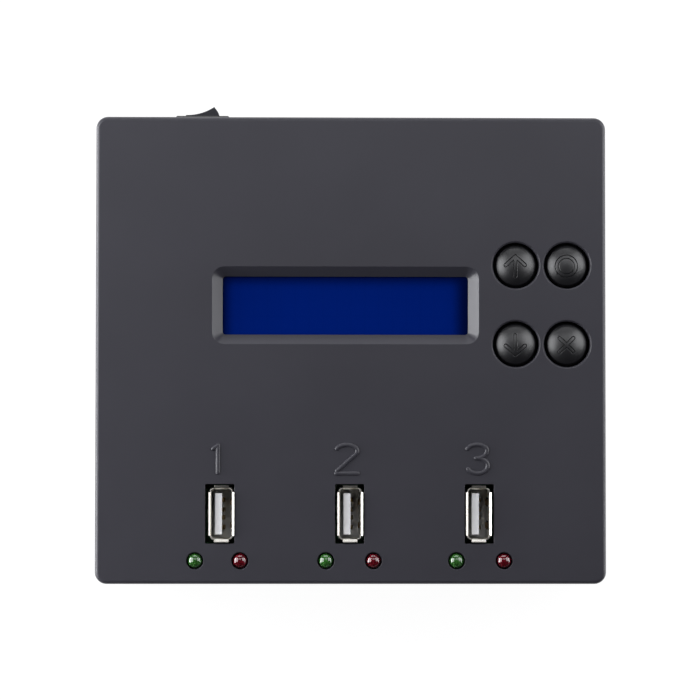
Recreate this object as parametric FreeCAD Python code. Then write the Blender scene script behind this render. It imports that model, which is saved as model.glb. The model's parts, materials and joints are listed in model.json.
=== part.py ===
import FreeCAD, Part
import math
import os

# USB flash drive duplicator: a flat moulded case with a display window, four round push buttons, three
# upright USB sockets with a green and a red light each, and a small power rocker and a power inlet at the rear.
# Sizes are in millimetres. X runs to the right, Y to the rear and Z up, with the desk at Z = 0.
# Insets are measured from the outer sides of the case, and places along X and Y from its middle.

Vector = FreeCAD.Vector
REARWARD = Vector(0, 1, 0)
UPWARD = Vector(0, 0, 1)

# Case
CASE_WIDTH = 130.0
CASE_DEPTH = 119.0
CASE_TOP = 43.0
CASE_BOTTOM = 2.0
PARTING_HEIGHT = 16.0
WALL = 2.5
TOP_PLATE = 2.5
BASE_PLATE = 2.5
CORNER_RADIUS = 3.0
INNER_CORNER_RADIUS = 1.0
EDGE_RADIUS = 1.0
LIP_WIDTH = 1.2
LIP_HEIGHT = 1.5
LIP_CLEARANCE = 0.1
LIP_HEADROOM = 0.2
CASE_RIGHT_X = CASE_WIDTH / 2
CASE_LEFT_X = -CASE_WIDTH / 2
CASE_REAR_Y = CASE_DEPTH / 2
CASE_FRONT_Y = -CASE_DEPTH / 2

# Feet
FOOT_RADIUS = 5.0
FOOT_RECESS = 1.0
FOOT_RECESS_CLEARANCE = 0.1
FOOT_CHAMFER = 0.6
FOOT_INSET_X = 17.0
FOOT_INSET_Y = 17.5
FOOT_SPREAD_X = CASE_WIDTH - 2 * FOOT_INSET_X
FOOT_SPREAD_Y = CASE_DEPTH - 2 * FOOT_INSET_Y

# Case screws, driven from below
CASE_SCREW_INSET_X = 7.0
CASE_SCREW_INSET_Y = 7.5
CASE_SCREW_SPREAD_X = CASE_WIDTH - 2 * CASE_SCREW_INSET_X
CASE_SCREW_SPREAD_Y = CASE_DEPTH - 2 * CASE_SCREW_INSET_Y
CASE_SCREW_RADIUS = 1.4
CASE_SCREW_HEAD_RADIUS = 2.8
CASE_SCREW_HEAD_HEIGHT = 2.0
CASE_SCREW_LENGTH = 16.0
CASE_SCREW_WELL_RADIUS = 3.4
CASE_SCREW_WELL_DEPTH = 4.0
CASE_SCREW_SEAT = CASE_BOTTOM + CASE_SCREW_WELL_DEPTH
CASE_POST_RADIUS = 4.6
CASE_BOSS_RADIUS = 3.6
CASE_BOSS_DROP = 2.0
CASE_BOSS_WEB = 1.2
SCREW_CLEARANCE = 0.05
SCREW_HOLE_CLEARANCE = 0.3
SCREW_TIP_ROOM = 1.0

# Buttons
CAP_RADIUS = 5.28
CAP_RISE = 0.8
CAP_CROWN = 1.7
CAP_CHAMFER = 0.35
WELL_CLEARANCE = 0.59
WELL_CHAMFER = 0.39
WELL_RADIUS = CAP_RADIUS + WELL_CLEARANCE
WELL_WEB = 0.53
CAP_FLANGE_LAP = 0.73
CAP_FLANGE_RADIUS = WELL_RADIUS + CAP_FLANGE_LAP
CAP_FLANGE_THICKNESS = 1.2
CAP_FLANGE_FLATS = 8.8
CAP_FLANGE_GAP = 0.1
CAP_STEM_RADIUS = 2.6
CAP_TRAVEL = 0.5
BUTTON_INSET_X = 9.9
BUTTON_PITCH_X = 2 * (WELL_RADIUS + WELL_CHAMFER) + WELL_WEB
BUTTON_PITCH_Y = 20.1
BUTTON_LEFT_X = CASE_RIGHT_X - BUTTON_INSET_X - BUTTON_PITCH_X

# Push switches under the buttons
SWITCH_WIDTH = 6.0
SWITCH_HEIGHT = 3.5
SWITCH_CORNER = 0.7
SWITCH_FLOOR = 0.8
PLUNGER_RADIUS = 1.75
PLUNGER_TOP = 7.0
PLUNGER_END_ROOM = 0.2
PLUNGER_CLEARANCE = 0.05
LEG_WIDTH = 0.7
LEG_THICKNESS = 0.3
LEG_PROUD = 0.15
LEG_SPREAD_X = SWITCH_WIDTH + 2 * LEG_PROUD - LEG_THICKNESS
LEG_SPREAD_Y = 4.5
LEG_BELOW_BOARD = 0.8
LEG_HEIGHT = 1.0

# Display module, beside the left column of buttons
MODULE_VIEW_WIDTH = 64.5
MODULE_VIEW_DEPTH = 16.0
MODULE_FRAME_RIM_X = 3.35
MODULE_FRAME_RIM_Y = 4.6
MODULE_FRAME_WIDTH = MODULE_VIEW_WIDTH + 2 * MODULE_FRAME_RIM_X
MODULE_FRAME_DEPTH = MODULE_VIEW_DEPTH + 2 * MODULE_FRAME_RIM_Y
MODULE_FRAME_HEIGHT = 8.9
MODULE_FRAME_SHEET = 0.5
MODULE_MARGIN_X = 4.4
MODULE_MARGIN_Y = 5.4
MODULE_WIDTH = MODULE_FRAME_WIDTH + 2 * MODULE_MARGIN_X
MODULE_DEPTH = MODULE_FRAME_DEPTH + 2 * MODULE_MARGIN_Y
MODULE_BOARD = 1.6
MODULE_GLASS = 2.2
MODULE_INNER_CLEARANCE = 0.1
MODULE_HOLE_INSET = 2.5
MODULE_HOLE_SPREAD_X = MODULE_WIDTH - 2 * MODULE_HOLE_INSET
MODULE_HOLE_SPREAD_Y = MODULE_DEPTH - 2 * MODULE_HOLE_INSET
MODULE_SCREW_RADIUS = 1.0
MODULE_SCREW_HEAD_RADIUS = 1.9
MODULE_SCREW_HEAD_HEIGHT = 1.3
MODULE_SCREW_LENGTH = 7.0
MODULE_BOSS_RADIUS = 2.2
MODULE_TO_BUTTONS = 4.25
MODULE_INSET_Y = 30.1
MODULE_X = BUTTON_LEFT_X - MODULE_TO_BUTTONS - MODULE_WIDTH / 2
MODULE_Y = CASE_REAR_Y - MODULE_INSET_Y - MODULE_DEPTH / 2
BUTTON_ROWS_BEHIND_MODULE = 0.2
BUTTON_FRONT_Y = MODULE_Y + BUTTON_ROWS_BEHIND_MODULE - BUTTON_PITCH_Y / 2

# Display window, whose sill laps over the rim of the display's view
WINDOW_RADIUS = 3.1
WINDOW_BEVEL_X = 2.68
WINDOW_BEVEL_Y = 2.5
WINDOW_INNER_RADIUS = 0.8
WINDOW_LAP_X = 0.93
WINDOW_LAP_Y = 0.6
WINDOW_WIDTH = MODULE_VIEW_WIDTH - 2 * WINDOW_LAP_X + 2 * WINDOW_BEVEL_X
WINDOW_DEPTH = MODULE_VIEW_DEPTH - 2 * WINDOW_LAP_Y + 2 * WINDOW_BEVEL_Y
WINDOW_RIGHT_OF_MODULE = 0.8
WINDOW_X = MODULE_X + WINDOW_RIGHT_OF_MODULE
WINDOW_Y = MODULE_Y

# Sockets
SOCKET_MIDDLE_X = -0.19
SOCKET_PITCH = 32.72
SOCKET_INSET_Y = 17.8
SOCKET_Y = CASE_FRONT_Y + SOCKET_INSET_Y
SOCKET_MOUTH_X = 5.12
SOCKET_MOUTH_Y = 12.5
SOCKET_HEIGHT = 18.5
SOCKET_STAND = 0.5
SOCKET_SHEET = 0.3
SOCKET_LONG_LIP_FLARE = 0.68
SOCKET_SHORT_LIP_FLARE = 0.9
SOCKET_FLARE_RISE = 0.6
SOCKET_FLARE_BEND = 0.35
SOCKET_LONG_LIP_SETBACK = 0.75
SOCKET_SHORT_LIP_SETBACK = 0.73
SOCKET_LONG_LIP = SOCKET_MOUTH_Y - 2 * SOCKET_LONG_LIP_SETBACK
SOCKET_SHORT_LIP = SOCKET_MOUTH_X - 2 * SOCKET_SHORT_LIP_SETBACK
SOCKET_SLIT_WIDTH = 0.2
SOCKET_SLIT_DEPTH = 0.9
SOCKET_CORNER_RADIUS = 0.9
SOCKET_LEG_WIDTH = 2.0
SOCKET_LEG_DROP = 2.6
SOCKET_LEG_Y = 4.2
SOCKET_DEPTH = 12.2
CUTOUT_MIDDLE_X = -0.33
CUTOUT_PITCH = 33.0
SOCKET_CUTOUT_GAP_X = 1.165
SOCKET_CUTOUT_GAP_Y = 1.335
SOCKET_CUTOUT_X = SOCKET_MOUTH_X + 2 * SOCKET_CUTOUT_GAP_X
SOCKET_CUTOUT_Y = SOCKET_MOUTH_Y + 2 * SOCKET_CUTOUT_GAP_Y
SOCKET_CUTOUT_RADIUS = 0.4
TONGUE_THICKNESS = 1.78
TONGUE_SIDE_GAP = 1.02
TONGUE_WIDTH = SOCKET_MOUTH_Y - 2 * TONGUE_SIDE_GAP
TONGUE_BACK_GAP = 0.89
TONGUE_RECESS = 2.2
INSULATOR_CLEARANCE = 0.05
CONTACT_OFFSETS = (-3.5, -1.0, 1.0, 3.5)
CONTACT_WIDTH = 1.0
CONTACT_THICKNESS = 0.25
CONTACT_BOW = 0.55
CONTACT_END_MARGIN = 0.8
CONTACT_POCKET = 1.15
CONTACT_POCKET_DEPTH = 1.5
CONTACT_POCKET_AWAY = 0.45
CONTACT_POCKET_BEHIND = 0.4
CONTACT_TAIL = 2.2

# Lights
LIGHT_INSET_Y = 5.9
LIGHT_Y = CASE_FRONT_Y + LIGHT_INSET_Y
LIGHT_PITCH = 33.25
LIGHT_OFFSET = 6.05
FIRST_RED_SHIFT = -0.66
LIGHT_RADIUS = 1.9
LIGHT_RISE = 0.7
LIGHT_LENGTH = 5.3
LIGHT_FLANGE = 0.45
LIGHT_FLANGE_THICKNESS = 1.0
LIGHT_HOLE_CLEARANCE = 0.25
LIGHT_HOLE_CHAMFER = 0.15
LIGHT_LEAD_SPREAD = 2.54
LIGHT_LEAD_WIDTH = 0.5
LIGHT_LEAD_DROP = 1.0
SPACER_CLEARANCE = 0.08
SPACER_WALL = 0.6
SPACER_BORE = (LIGHT_LEAD_SPREAD + LIGHT_LEAD_WIDTH) / 2 + SPACER_CLEARANCE

# Main board, hung so that the sockets that stand on it come out of the top plate
BOARD_TOP = CASE_TOP + SOCKET_STAND - SOCKET_HEIGHT
BOARD_THICKNESS = 1.6
BOARD_MARGIN_SIDES = 2.5
BOARD_MARGIN_FRONT = 0.8
BOARD_MARGIN_REAR = 1.5
BOARD_NOTCH_X = 9.0
BOARD_NOTCH_Y = 9.5
BOARD_CORNER_RADIUS = 1.0
BOARD_SCREW_INSET_X = 10.0
BOARD_FRONT_SCREW_INSET = 25.5
BOARD_REAR_SCREW_INSET = 18.5
BOARD_OUTER_SCREW_X = CASE_RIGHT_X - BOARD_SCREW_INSET_X
BOARD_FRONT_SCREW_Y = CASE_FRONT_Y + BOARD_FRONT_SCREW_INSET
BOARD_REAR_SCREW_Y = CASE_REAR_Y - BOARD_REAR_SCREW_INSET
BOARD_INNER_SCREW_X = 16.7
BOARD_INNER_SCREW_AHEAD = 13.4
BOARD_INNER_SCREW_Y = MODULE_Y - MODULE_DEPTH / 2 - BOARD_INNER_SCREW_AHEAD
BOARD_BOSS_RADIUS = 3.2
BOARD_SCREW_RADIUS = 1.2
BOARD_SCREW_HEAD_RADIUS = 2.5
BOARD_SCREW_HEAD_HEIGHT = 1.6
BOARD_SCREW_LENGTH = 8.0

# Row of pins between the boards
HEADER_COUNT = 16
HEADER_PITCH = 2.54
HEADER_PIN = 0.64
HEADER_INSET_X = 8.0
HEADER_INSET_Y = 2.5
HEADER_BLOCK_HEIGHT = 2.5
HEADER_BLOCK_DEPTH = 2.5
HEADER_PIN_END = 1.2

# Parts soldered on the main board: a row of chips under the display, and a supply beside the inlet
CHIP_ROW_AHEAD = 3.4
CHIP_ROW_Y = MODULE_Y - CHIP_ROW_AHEAD
CONTROLLER_X = -8.0
CONTROLLER_WIDTH = 14.0
CONTROLLER_HEIGHT = 1.4
CONTROLLER_LEG = 1.0
CONTROLLER_LEG_HEIGHT = 0.6
CHIP_EDGE = 0.3
MEMORY_X = 18.0
MEMORY_WIDTH = 5.3
MEMORY_DEPTH = 7.6
CRYSTAL_X = -24.0
CRYSTAL_WIDTH = 11.0
CRYSTAL_DEPTH = 4.6
CRYSTAL_HEIGHT = 3.5
SUPPLY_INSET_Y = 15.5
SUPPLY_Y = CASE_REAR_Y - SUPPLY_INSET_Y
REGULATOR_X = 12.0
REGULATOR_WIDTH = 6.5
REGULATOR_DEPTH = 6.1
REGULATOR_HEIGHT = 2.3
SUPPLY_CAPACITORS_X = (22.0, 30.0)
SOCKET_CAPACITORS_AHEAD = 2.3
CAPACITOR_RADIUS = 2.5
CAPACITOR_HEIGHT = 11.0
CAPACITOR_RIM = 0.5

# Power inlet in the rear wall
JACK_INSET_X = 51.0
JACK_X = CASE_LEFT_X + JACK_INSET_X
JACK_WIDTH = 9.0
JACK_DEPTH = 14.2
JACK_HEIGHT = 11.0
JACK_AXIS_HEIGHT = 6.5
JACK_NOSE_RADIUS = 4.0
JACK_NOSE_CLEARANCE = 0.25
JACK_NOSE_RECESS = 0.1
JACK_BORE_RADIUS = 3.1
JACK_BORE_DEPTH = 11.0
JACK_PIN_RADIUS = 1.0
JACK_PIN_LENGTH = 9.5
JACK_PIN_CHAMFER = 0.3
JACK_PIN_ROOT_RADIUS = 1.2
JACK_PIN_ROOT_DEPTH = 2.0
JACK_PIN_ROOT_STAND = 0.5
JACK_TAB_WIDTH = 2.4
JACK_TAB_THICKNESS = 0.4
JACK_TAB_DROP = 1.6
JACK_TAB_STEP = 6.0
JACK_TAB_INSET = 1.0

# Power rocker in the rear wall, level with the inlet
ROCKER_INSET_X = 26.88
ROCKER_X = CASE_LEFT_X + ROCKER_INSET_X
ROCKER_HEIGHT = BOARD_TOP + JACK_AXIS_HEIGHT
ROCKER_TIP_RADIUS = 4.58
ROCKER_TIP_LIP = 0.13
ROCKER_END_RADIUS = ROCKER_TIP_RADIUS - ROCKER_TIP_LIP
ROCKER_TIP_ANGLE = 33.6
ROCKER_TILT = 16.0
ROCKER_DISH = 0.6
ROCKER_TIP_DROP = 6.0
ROCKER_SKIRT_ANGLE = 18.0
ROCKER_THICKNESS = 6.4
ROCKER_SIDE_CLEARANCE = 0.1
ROCKER_END_CLEARANCE = 0.14
ROCKER_KEEL_RADIUS = 1.6
ROCKER_KEEL_DROP = 2.6
ROCKER_PIVOT_RADIUS = 0.9
ROCKER_PIVOT_LENGTH = 0.6
ROCKER_PIVOT_CLEARANCE = 0.05
ROCKER_CHAMBER_WIDTH = 2 * (ROCKER_TIP_RADIUS + ROCKER_END_CLEARANCE)
ROCKER_CHAMBER_HEIGHT = ROCKER_THICKNESS + 2 * ROCKER_SIDE_CLEARANCE
ROCKER_END_WALL = 1.75
ROCKER_SIDE_WALL = 0.85
ROCKER_BODY_WIDTH = ROCKER_CHAMBER_WIDTH + 2 * ROCKER_END_WALL
ROCKER_BODY_HEIGHT = ROCKER_CHAMBER_HEIGHT + 2 * ROCKER_SIDE_WALL
ROCKER_BODY_DEPTH = 9.5
ROCKER_BODY_FLOOR = 2.0
ROCKER_BEZEL_RIM_X = 0.85
ROCKER_BEZEL_RIM_Z = 1.1
ROCKER_BEZEL_WIDTH = ROCKER_BODY_WIDTH + 2 * ROCKER_BEZEL_RIM_X
ROCKER_BEZEL_HEIGHT = ROCKER_BODY_HEIGHT + 2 * ROCKER_BEZEL_RIM_Z
ROCKER_BEZEL_STAND = 1.0
ROCKER_BEZEL_BEVEL = 0.8
ROCKER_CUTOUT_CLEARANCE = 0.1
ROCKER_SNAP_REACH = 0.6
ROCKER_SNAP_LENGTH = 3.5
ROCKER_SNAP_HEIGHT = 3.0
ROCKER_SNAP_GAP = 0.05
TERMINAL_SPREAD = 6.4
TERMINAL_THICKNESS = 0.6
TERMINAL_WIDTH = 2.8
TERMINAL_LENGTH = 5.5
TERMINAL_ROOT = 1.2

# Leads from the rocker to the board
LEAD_RADIUS = 0.6
LEAD_CLEARANCE = 0.05
LEAD_ARC_SHARE = 0.45
LEAD_ENTRY = 2.0
LEAD_SOCKET_WIDTH = 5.6
LEAD_SOCKET_DEPTH = 4.5
LEAD_SOCKET_HEIGHT = 3.4
LEAD_SOCKET_REACH = 11.0
LEAD_SOCKET_SPREAD = 2.4
LEAD_STRAIGHT = 3.2

# Heights and planes that several pieces share
PLATE_UNDERSIDE = CASE_TOP - TOP_PLATE
BOARD_BOTTOM = BOARD_TOP - BOARD_THICKNESS
MODULE_BOARD_TOP = PLATE_UNDERSIDE - MODULE_FRAME_HEIGHT
MODULE_BOARD_BOTTOM = MODULE_BOARD_TOP - MODULE_BOARD
RAISED_TIP_ANGLE = math.radians(ROCKER_TIP_ANGLE + ROCKER_TILT)
REAR_REACH = ROCKER_TIP_RADIUS * math.sin(RAISED_TIP_ANGLE)

# The origin lies under the middle of the whole object, so the case sits forward by half of the rocker's reach
CASE_Y = -REAR_REACH / 2
REAR_WALL_Y = CASE_Y + CASE_REAR_Y
REAR_WALL_INSIDE_Y = REAR_WALL_Y - WALL
BUTTON_SPOTS = {
    "up": (BUTTON_LEFT_X, CASE_Y + BUTTON_FRONT_Y + BUTTON_PITCH_Y),
    "ring": (BUTTON_LEFT_X + BUTTON_PITCH_X, CASE_Y + BUTTON_FRONT_Y + BUTTON_PITCH_Y),
    "down": (BUTTON_LEFT_X, CASE_Y + BUTTON_FRONT_Y),
    "cross": (BUTTON_LEFT_X + BUTTON_PITCH_X, CASE_Y + BUTTON_FRONT_Y),
}


def row_x(middle, pitch, place):
    """Where one of the three stations of the row along the front lies along X, counted from the left."""
    return middle + (place - 1) * pitch


CUTOUT_SPOTS = [(row_x(CUTOUT_MIDDLE_X, CUTOUT_PITCH, place), CASE_Y + SOCKET_Y) for place in range(3)]
SOCKET_SPOTS = [(row_x(SOCKET_MIDDLE_X, SOCKET_PITCH, place), CASE_Y + SOCKET_Y) for place in range(3)]


def light_x(colour, place):
    """Where a light stands along X: all are spaced evenly, but the first red one is nearer to its socket."""
    side = -1 if colour == "green" else 1
    even = row_x(CUTOUT_MIDDLE_X, LIGHT_PITCH, place) + side * LIGHT_OFFSET
    return even + FIRST_RED_SHIFT if (colour, place) == ("red", 0) else even


LIGHT_SPOTS = {
    f"{colour}_{place + 1}": (light_x(colour, place), CASE_Y + LIGHT_Y)
    for place in range(3)
    for colour in ("green", "red")
}


def corners(x, y, spread_x, spread_y):
    """The four corners of a rectangle about x, y."""
    return [(x + i * spread_x / 2, y + j * spread_y / 2) for j in (-1, 1) for i in (-1, 1)]


CASE_SCREW_SPOTS = corners(0, CASE_Y, CASE_SCREW_SPREAD_X, CASE_SCREW_SPREAD_Y)
FOOT_SPOTS = corners(0, CASE_Y, FOOT_SPREAD_X, FOOT_SPREAD_Y)
MODULE_SCREW_SPOTS = corners(MODULE_X, CASE_Y + MODULE_Y, MODULE_HOLE_SPREAD_X, MODULE_HOLE_SPREAD_Y)
BOARD_SCREW_SPOTS = [
    (side * x, CASE_Y + y)
    for x, y in (
        (BOARD_OUTER_SCREW_X, BOARD_FRONT_SCREW_Y),
        (BOARD_OUTER_SCREW_X, BOARD_REAR_SCREW_Y),
        (BOARD_INNER_SCREW_X, BOARD_INNER_SCREW_Y),
    )
    for side in (-1, 1)
]


# Forms that many pieces are made from


def block(x_limits, y_limits, z_limits):
    """A box between three pairs of limits."""
    limits = (x_limits, y_limits, z_limits)
    low = Vector(*(pair[0] for pair in limits))
    return Part.makeBox(*(pair[1] - pair[0] for pair in limits), low)


def slab(x, y, width, depth, bottom, top):
    """A box centred on x, y."""
    return block((x - width / 2, x + width / 2), (y - depth / 2, y + depth / 2), (bottom, top))


def rod(x, y, radius, bottom, top):
    """An upright cylinder."""
    return Part.makeCylinder(radius, top - bottom, Vector(x, y, bottom))


def rounded_outline(x, y, height, width, depth, radius):
    """A rectangle with round corners, level at a height and centred on x, y."""
    right, rear = width / 2, depth / 2
    edges = []
    for turn in range(4):
        along, across = (right, rear) if turn % 2 == 0 else (rear, right)
        start = Vector(along, radius - across, 0)
        end = Vector(along, across - radius, 0)
        middle = Vector(along - radius, across - radius, 0)
        halfway = middle + Vector(radius, radius, 0) * math.sqrt(0.5)
        pieces = [
            Part.LineSegment(start, end).toShape(),
            Part.Arc(end, halfway, middle + Vector(0, radius, 0)).toShape(),
        ]
        for piece in pieces:
            piece.rotate(Vector(), UPWARD, 90 * turn)
            piece.translate(Vector(x, y, height))
            edges.append(piece)
    return Part.Wire(edges)


def rounded_slab(x, y, width, depth, radius, bottom, top):
    """An upright prism on a rectangle with round corners."""
    outline = rounded_outline(x, y, bottom, width, depth, radius)
    return Part.Face(outline).extrude(UPWARD * (top - bottom))


def path(start, *steps):
    """A closed wire through steps: a point ends a straight run, a pair is an arc by way of its first point."""
    edges = []
    here = start
    for step in (*steps, start):
        if isinstance(step, tuple):
            edges.append(Part.Arc(here, step[0], step[1]).toShape())
            here = step[1]
        elif here.distanceToPoint(step) > 1e-6:
            edges.append(Part.LineSegment(here, step).toShape())
            here = step
    return Part.Wire(edges)


def turned(x, y, start, *steps):
    """A solid turned about the upright axis at x, y from a profile of radius along X and height along Z."""
    solid = Part.Face(path(start, *steps)).revolve(Vector(), UPWARD, 360)
    solid.translate(Vector(x, y, 0))
    return solid


def profile_point(radius, height):
    """A point of a turned profile."""
    return Vector(radius, 0, height)


def joined(shapes):
    """Shapes fused to one, without the seams between flush faces."""
    shapes = list(shapes)
    return shapes[0].fuse(shapes[1:]).removeSplitter() if len(shapes) > 1 else shapes[0]


def save(name, shape):
    """Writes one node to its file and checks that its solids are whole."""
    if not shape.isValid() or not shape.Solids:
        raise ValueError(f"{name} isn't a whole solid")
    shape.exportStep(f"parts/{name}.step")


# The case


def rounded_at(shape, height, radius):
    """Rounds the outline edges that lie level at one height."""
    level = [edge for edge in shape.Edges if all(abs(v.Z - height) < 1e-6 for v in edge.Vertexes)]
    return shape.makeFillet(radius, level)


def chamfered_at(shape, height, size):
    """Cuts a flat chamfer along the outline edges that lie level at one height."""
    level = [edge for edge in shape.Edges if all(abs(v.Z - height) < 1e-6 for v in edge.Vertexes)]
    return shape.makeChamfer(size, level)


def case_slab(inset, radius, bottom, top):
    """A prism with the outline of the case, drawn in by an inset."""
    return rounded_slab(0, CASE_Y, CASE_WIDTH - 2 * inset, CASE_DEPTH - 2 * inset, radius, bottom, top)


def window_cut():
    """The display window, which narrows through the top plate with bevelled sides."""
    x, y = WINDOW_X, CASE_Y + WINDOW_Y
    mouth = rounded_outline(x, y, CASE_TOP, WINDOW_WIDTH, WINDOW_DEPTH, WINDOW_RADIUS)
    inner_width = WINDOW_WIDTH - 2 * WINDOW_BEVEL_X
    inner_depth = WINDOW_DEPTH - 2 * WINDOW_BEVEL_Y
    sill = rounded_outline(x, y, PLATE_UNDERSIDE, inner_width, inner_depth, WINDOW_INNER_RADIUS)
    return Part.makeLoft([sill, mouth], True, True)


def chamfered_hole(x, y, radius, chamfer):
    """A round hole through the top plate with a chamfered rim."""
    cone = Part.makeCone(radius, radius + chamfer, chamfer, Vector(x, y, CASE_TOP - chamfer))
    return rod(x, y, radius, PLATE_UNDERSIDE, CASE_TOP).fuse(cone)


def boss(x, y, radius, bottom):
    """A round post that hangs from the top plate."""
    return rod(x, y, radius, bottom, PLATE_UNDERSIDE)


def case_boss(x, y):
    """A corner post for a case screw, with two webs to the walls beside it."""
    bottom = PARTING_HEIGHT - CASE_BOSS_DROP
    side_wall = math.copysign(CASE_WIDTH / 2 - WALL, x)
    end_wall = CASE_Y + math.copysign(CASE_DEPTH / 2 - WALL, y - CASE_Y)
    web_bottom = PARTING_HEIGHT + LIP_HEIGHT + LIP_HEADROOM
    half = CASE_BOSS_WEB / 2
    side_web = block(sorted((x, side_wall)), (y - half, y + half), (web_bottom, PLATE_UNDERSIDE))
    end_web = block((x - half, x + half), sorted((y, end_wall)), (web_bottom, PLATE_UNDERSIDE))
    return [boss(x, y, CASE_BOSS_RADIUS, bottom), side_web, end_web]


def top_shell():
    """The upper half of the case, with all that is cut in it and the posts that hang inside it."""
    rebate = LIP_WIDTH + LIP_CLEARANCE
    rebate_top = PARTING_HEIGHT + LIP_HEIGHT + LIP_HEADROOM
    shell = rounded_at(case_slab(0, CORNER_RADIUS, PARTING_HEIGHT, CASE_TOP), CASE_TOP, EDGE_RADIUS)
    shell = shell.cut(case_slab(WALL, INNER_CORNER_RADIUS, PARTING_HEIGHT, PLATE_UNDERSIDE))
    shell = shell.cut(case_slab(WALL - rebate, CORNER_RADIUS - WALL + rebate, PARTING_HEIGHT, rebate_top))
    posts = [piece for spot in CASE_SCREW_SPOTS for piece in case_boss(*spot)]
    posts += [boss(x, y, MODULE_BOSS_RADIUS, MODULE_BOARD_TOP) for x, y in MODULE_SCREW_SPOTS]
    posts += [boss(x, y, BOARD_BOSS_RADIUS, BOARD_TOP) for x, y in BOARD_SCREW_SPOTS]
    shell = shell.fuse(posts)

    holes = [window_cut()]
    holes += [chamfered_hole(x, y, WELL_RADIUS, WELL_CHAMFER) for x, y in BUTTON_SPOTS.values()]
    lens_hole = LIGHT_RADIUS + LIGHT_HOLE_CLEARANCE
    holes += [chamfered_hole(x, y, lens_hole, LIGHT_HOLE_CHAMFER) for x, y in LIGHT_SPOTS.values()]
    holes += [
        rounded_slab(
            x, y, SOCKET_CUTOUT_X, SOCKET_CUTOUT_Y, SOCKET_CUTOUT_RADIUS, PLATE_UNDERSIDE, CASE_TOP
        )
        for x, y in CUTOUT_SPOTS
    ]
    holes += [rocker_cutout(), jack_hole()]
    holes += case_screw_threads() + module_screw_threads() + board_screw_threads()
    return shell.cut(holes)


def rocker_cutout():
    """The opening in the rear wall that the body of the rocker passes through."""
    half_width = ROCKER_BODY_WIDTH / 2 + ROCKER_CUTOUT_CLEARANCE
    half_height = ROCKER_BODY_HEIGHT / 2 + ROCKER_CUTOUT_CLEARANCE
    return block(
        (ROCKER_X - half_width, ROCKER_X + half_width),
        (REAR_WALL_INSIDE_Y, REAR_WALL_Y),
        (ROCKER_HEIGHT - half_height, ROCKER_HEIGHT + half_height),
    )


def jack_hole():
    """The round hole in the rear wall for the nose of the power inlet."""
    radius = JACK_NOSE_RADIUS + JACK_NOSE_CLEARANCE
    start = Vector(JACK_X, REAR_WALL_INSIDE_Y, BOARD_TOP + JACK_AXIS_HEIGHT)
    return Part.makeCylinder(radius, WALL, start, REARWARD)


def lip_ring():
    """The thin wall round the lower half that stands inside the rim of the upper half."""
    outside = WALL - LIP_WIDTH
    top = PARTING_HEIGHT + LIP_HEIGHT
    outer = case_slab(outside, CORNER_RADIUS - outside, PARTING_HEIGHT, top)
    return outer.cut(case_slab(WALL, INNER_CORNER_RADIUS, PARTING_HEIGHT, top))


def bottom_shell():
    """The lower half of the case: a tray with a lip, four screw posts and recesses for the feet."""
    floor_top = CASE_BOTTOM + BASE_PLATE
    tray = rounded_at(case_slab(0, CORNER_RADIUS, CASE_BOTTOM, PARTING_HEIGHT), CASE_BOTTOM, EDGE_RADIUS)
    tray = tray.cut(case_slab(WALL, INNER_CORNER_RADIUS, floor_top, PARTING_HEIGHT))
    post_top = PARTING_HEIGHT - CASE_BOSS_DROP
    posts = [rod(x, y, CASE_POST_RADIUS, floor_top, post_top) for x, y in CASE_SCREW_SPOTS]
    tray = tray.fuse([lip_ring(), *posts])

    holes = []
    clear_hole = CASE_SCREW_RADIUS + SCREW_HOLE_CLEARANCE
    for x, y in CASE_SCREW_SPOTS:
        holes.append(rod(x, y, CASE_SCREW_WELL_RADIUS, CASE_BOTTOM, CASE_SCREW_SEAT))
        holes.append(rod(x, y, clear_hole, CASE_SCREW_SEAT, post_top))
    for x, y in FOOT_SPOTS:
        recess = FOOT_RADIUS + FOOT_RECESS_CLEARANCE
        holes.append(rod(x, y, recess, CASE_BOTTOM, CASE_BOTTOM + FOOT_RECESS))
    return tray.cut(holes)


def foot(x, y):
    """A rubber foot, a low disc with a chamfered lower rim, set in a recess of the lower half."""
    disc = rod(x, y, FOOT_RADIUS, 0, CASE_BOTTOM + FOOT_RECESS)
    return chamfered_at(disc, 0, FOOT_CHAMFER)


# Screws


def screw(x, y, seat, radius, length, head_radius, head_height):
    """A plain round-head screw driven upward, with its head below the seat."""
    return turned(
        x,
        y,
        profile_point(0, seat - head_height),
        profile_point(head_radius, seat - head_height),
        profile_point(head_radius, seat),
        profile_point(radius, seat),
        profile_point(radius, seat + length),
        profile_point(0, seat + length),
    )


def screw_thread_holes(spots, seat, radius, length, bottom):
    """The holes that screws cut their threads in, from the foot of each post."""
    top = seat + length + SCREW_TIP_ROOM
    return [rod(x, y, radius + SCREW_CLEARANCE, bottom, top) for x, y in spots]


def case_screw_threads():
    """Thread holes of the four corner posts."""
    post_foot = PARTING_HEIGHT - CASE_BOSS_DROP
    return screw_thread_holes(
        CASE_SCREW_SPOTS, CASE_SCREW_SEAT, CASE_SCREW_RADIUS, CASE_SCREW_LENGTH, post_foot
    )


def module_screw_threads():
    """Thread holes of the posts that carry the display module."""
    return screw_thread_holes(
        MODULE_SCREW_SPOTS, MODULE_BOARD_BOTTOM, MODULE_SCREW_RADIUS, MODULE_SCREW_LENGTH, MODULE_BOARD_TOP
    )


def board_screw_threads():
    """Thread holes of the posts that carry the main board."""
    return screw_thread_holes(
        BOARD_SCREW_SPOTS, BOARD_BOTTOM, BOARD_SCREW_RADIUS, BOARD_SCREW_LENGTH, BOARD_TOP
    )


def case_screws():
    """The four screws that hold the halves of the case together."""
    return [
        screw(
            x, y, CASE_SCREW_SEAT, CASE_SCREW_RADIUS, CASE_SCREW_LENGTH, CASE_SCREW_HEAD_RADIUS,
            CASE_SCREW_HEAD_HEIGHT,
        )
        for x, y in CASE_SCREW_SPOTS
    ]


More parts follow.
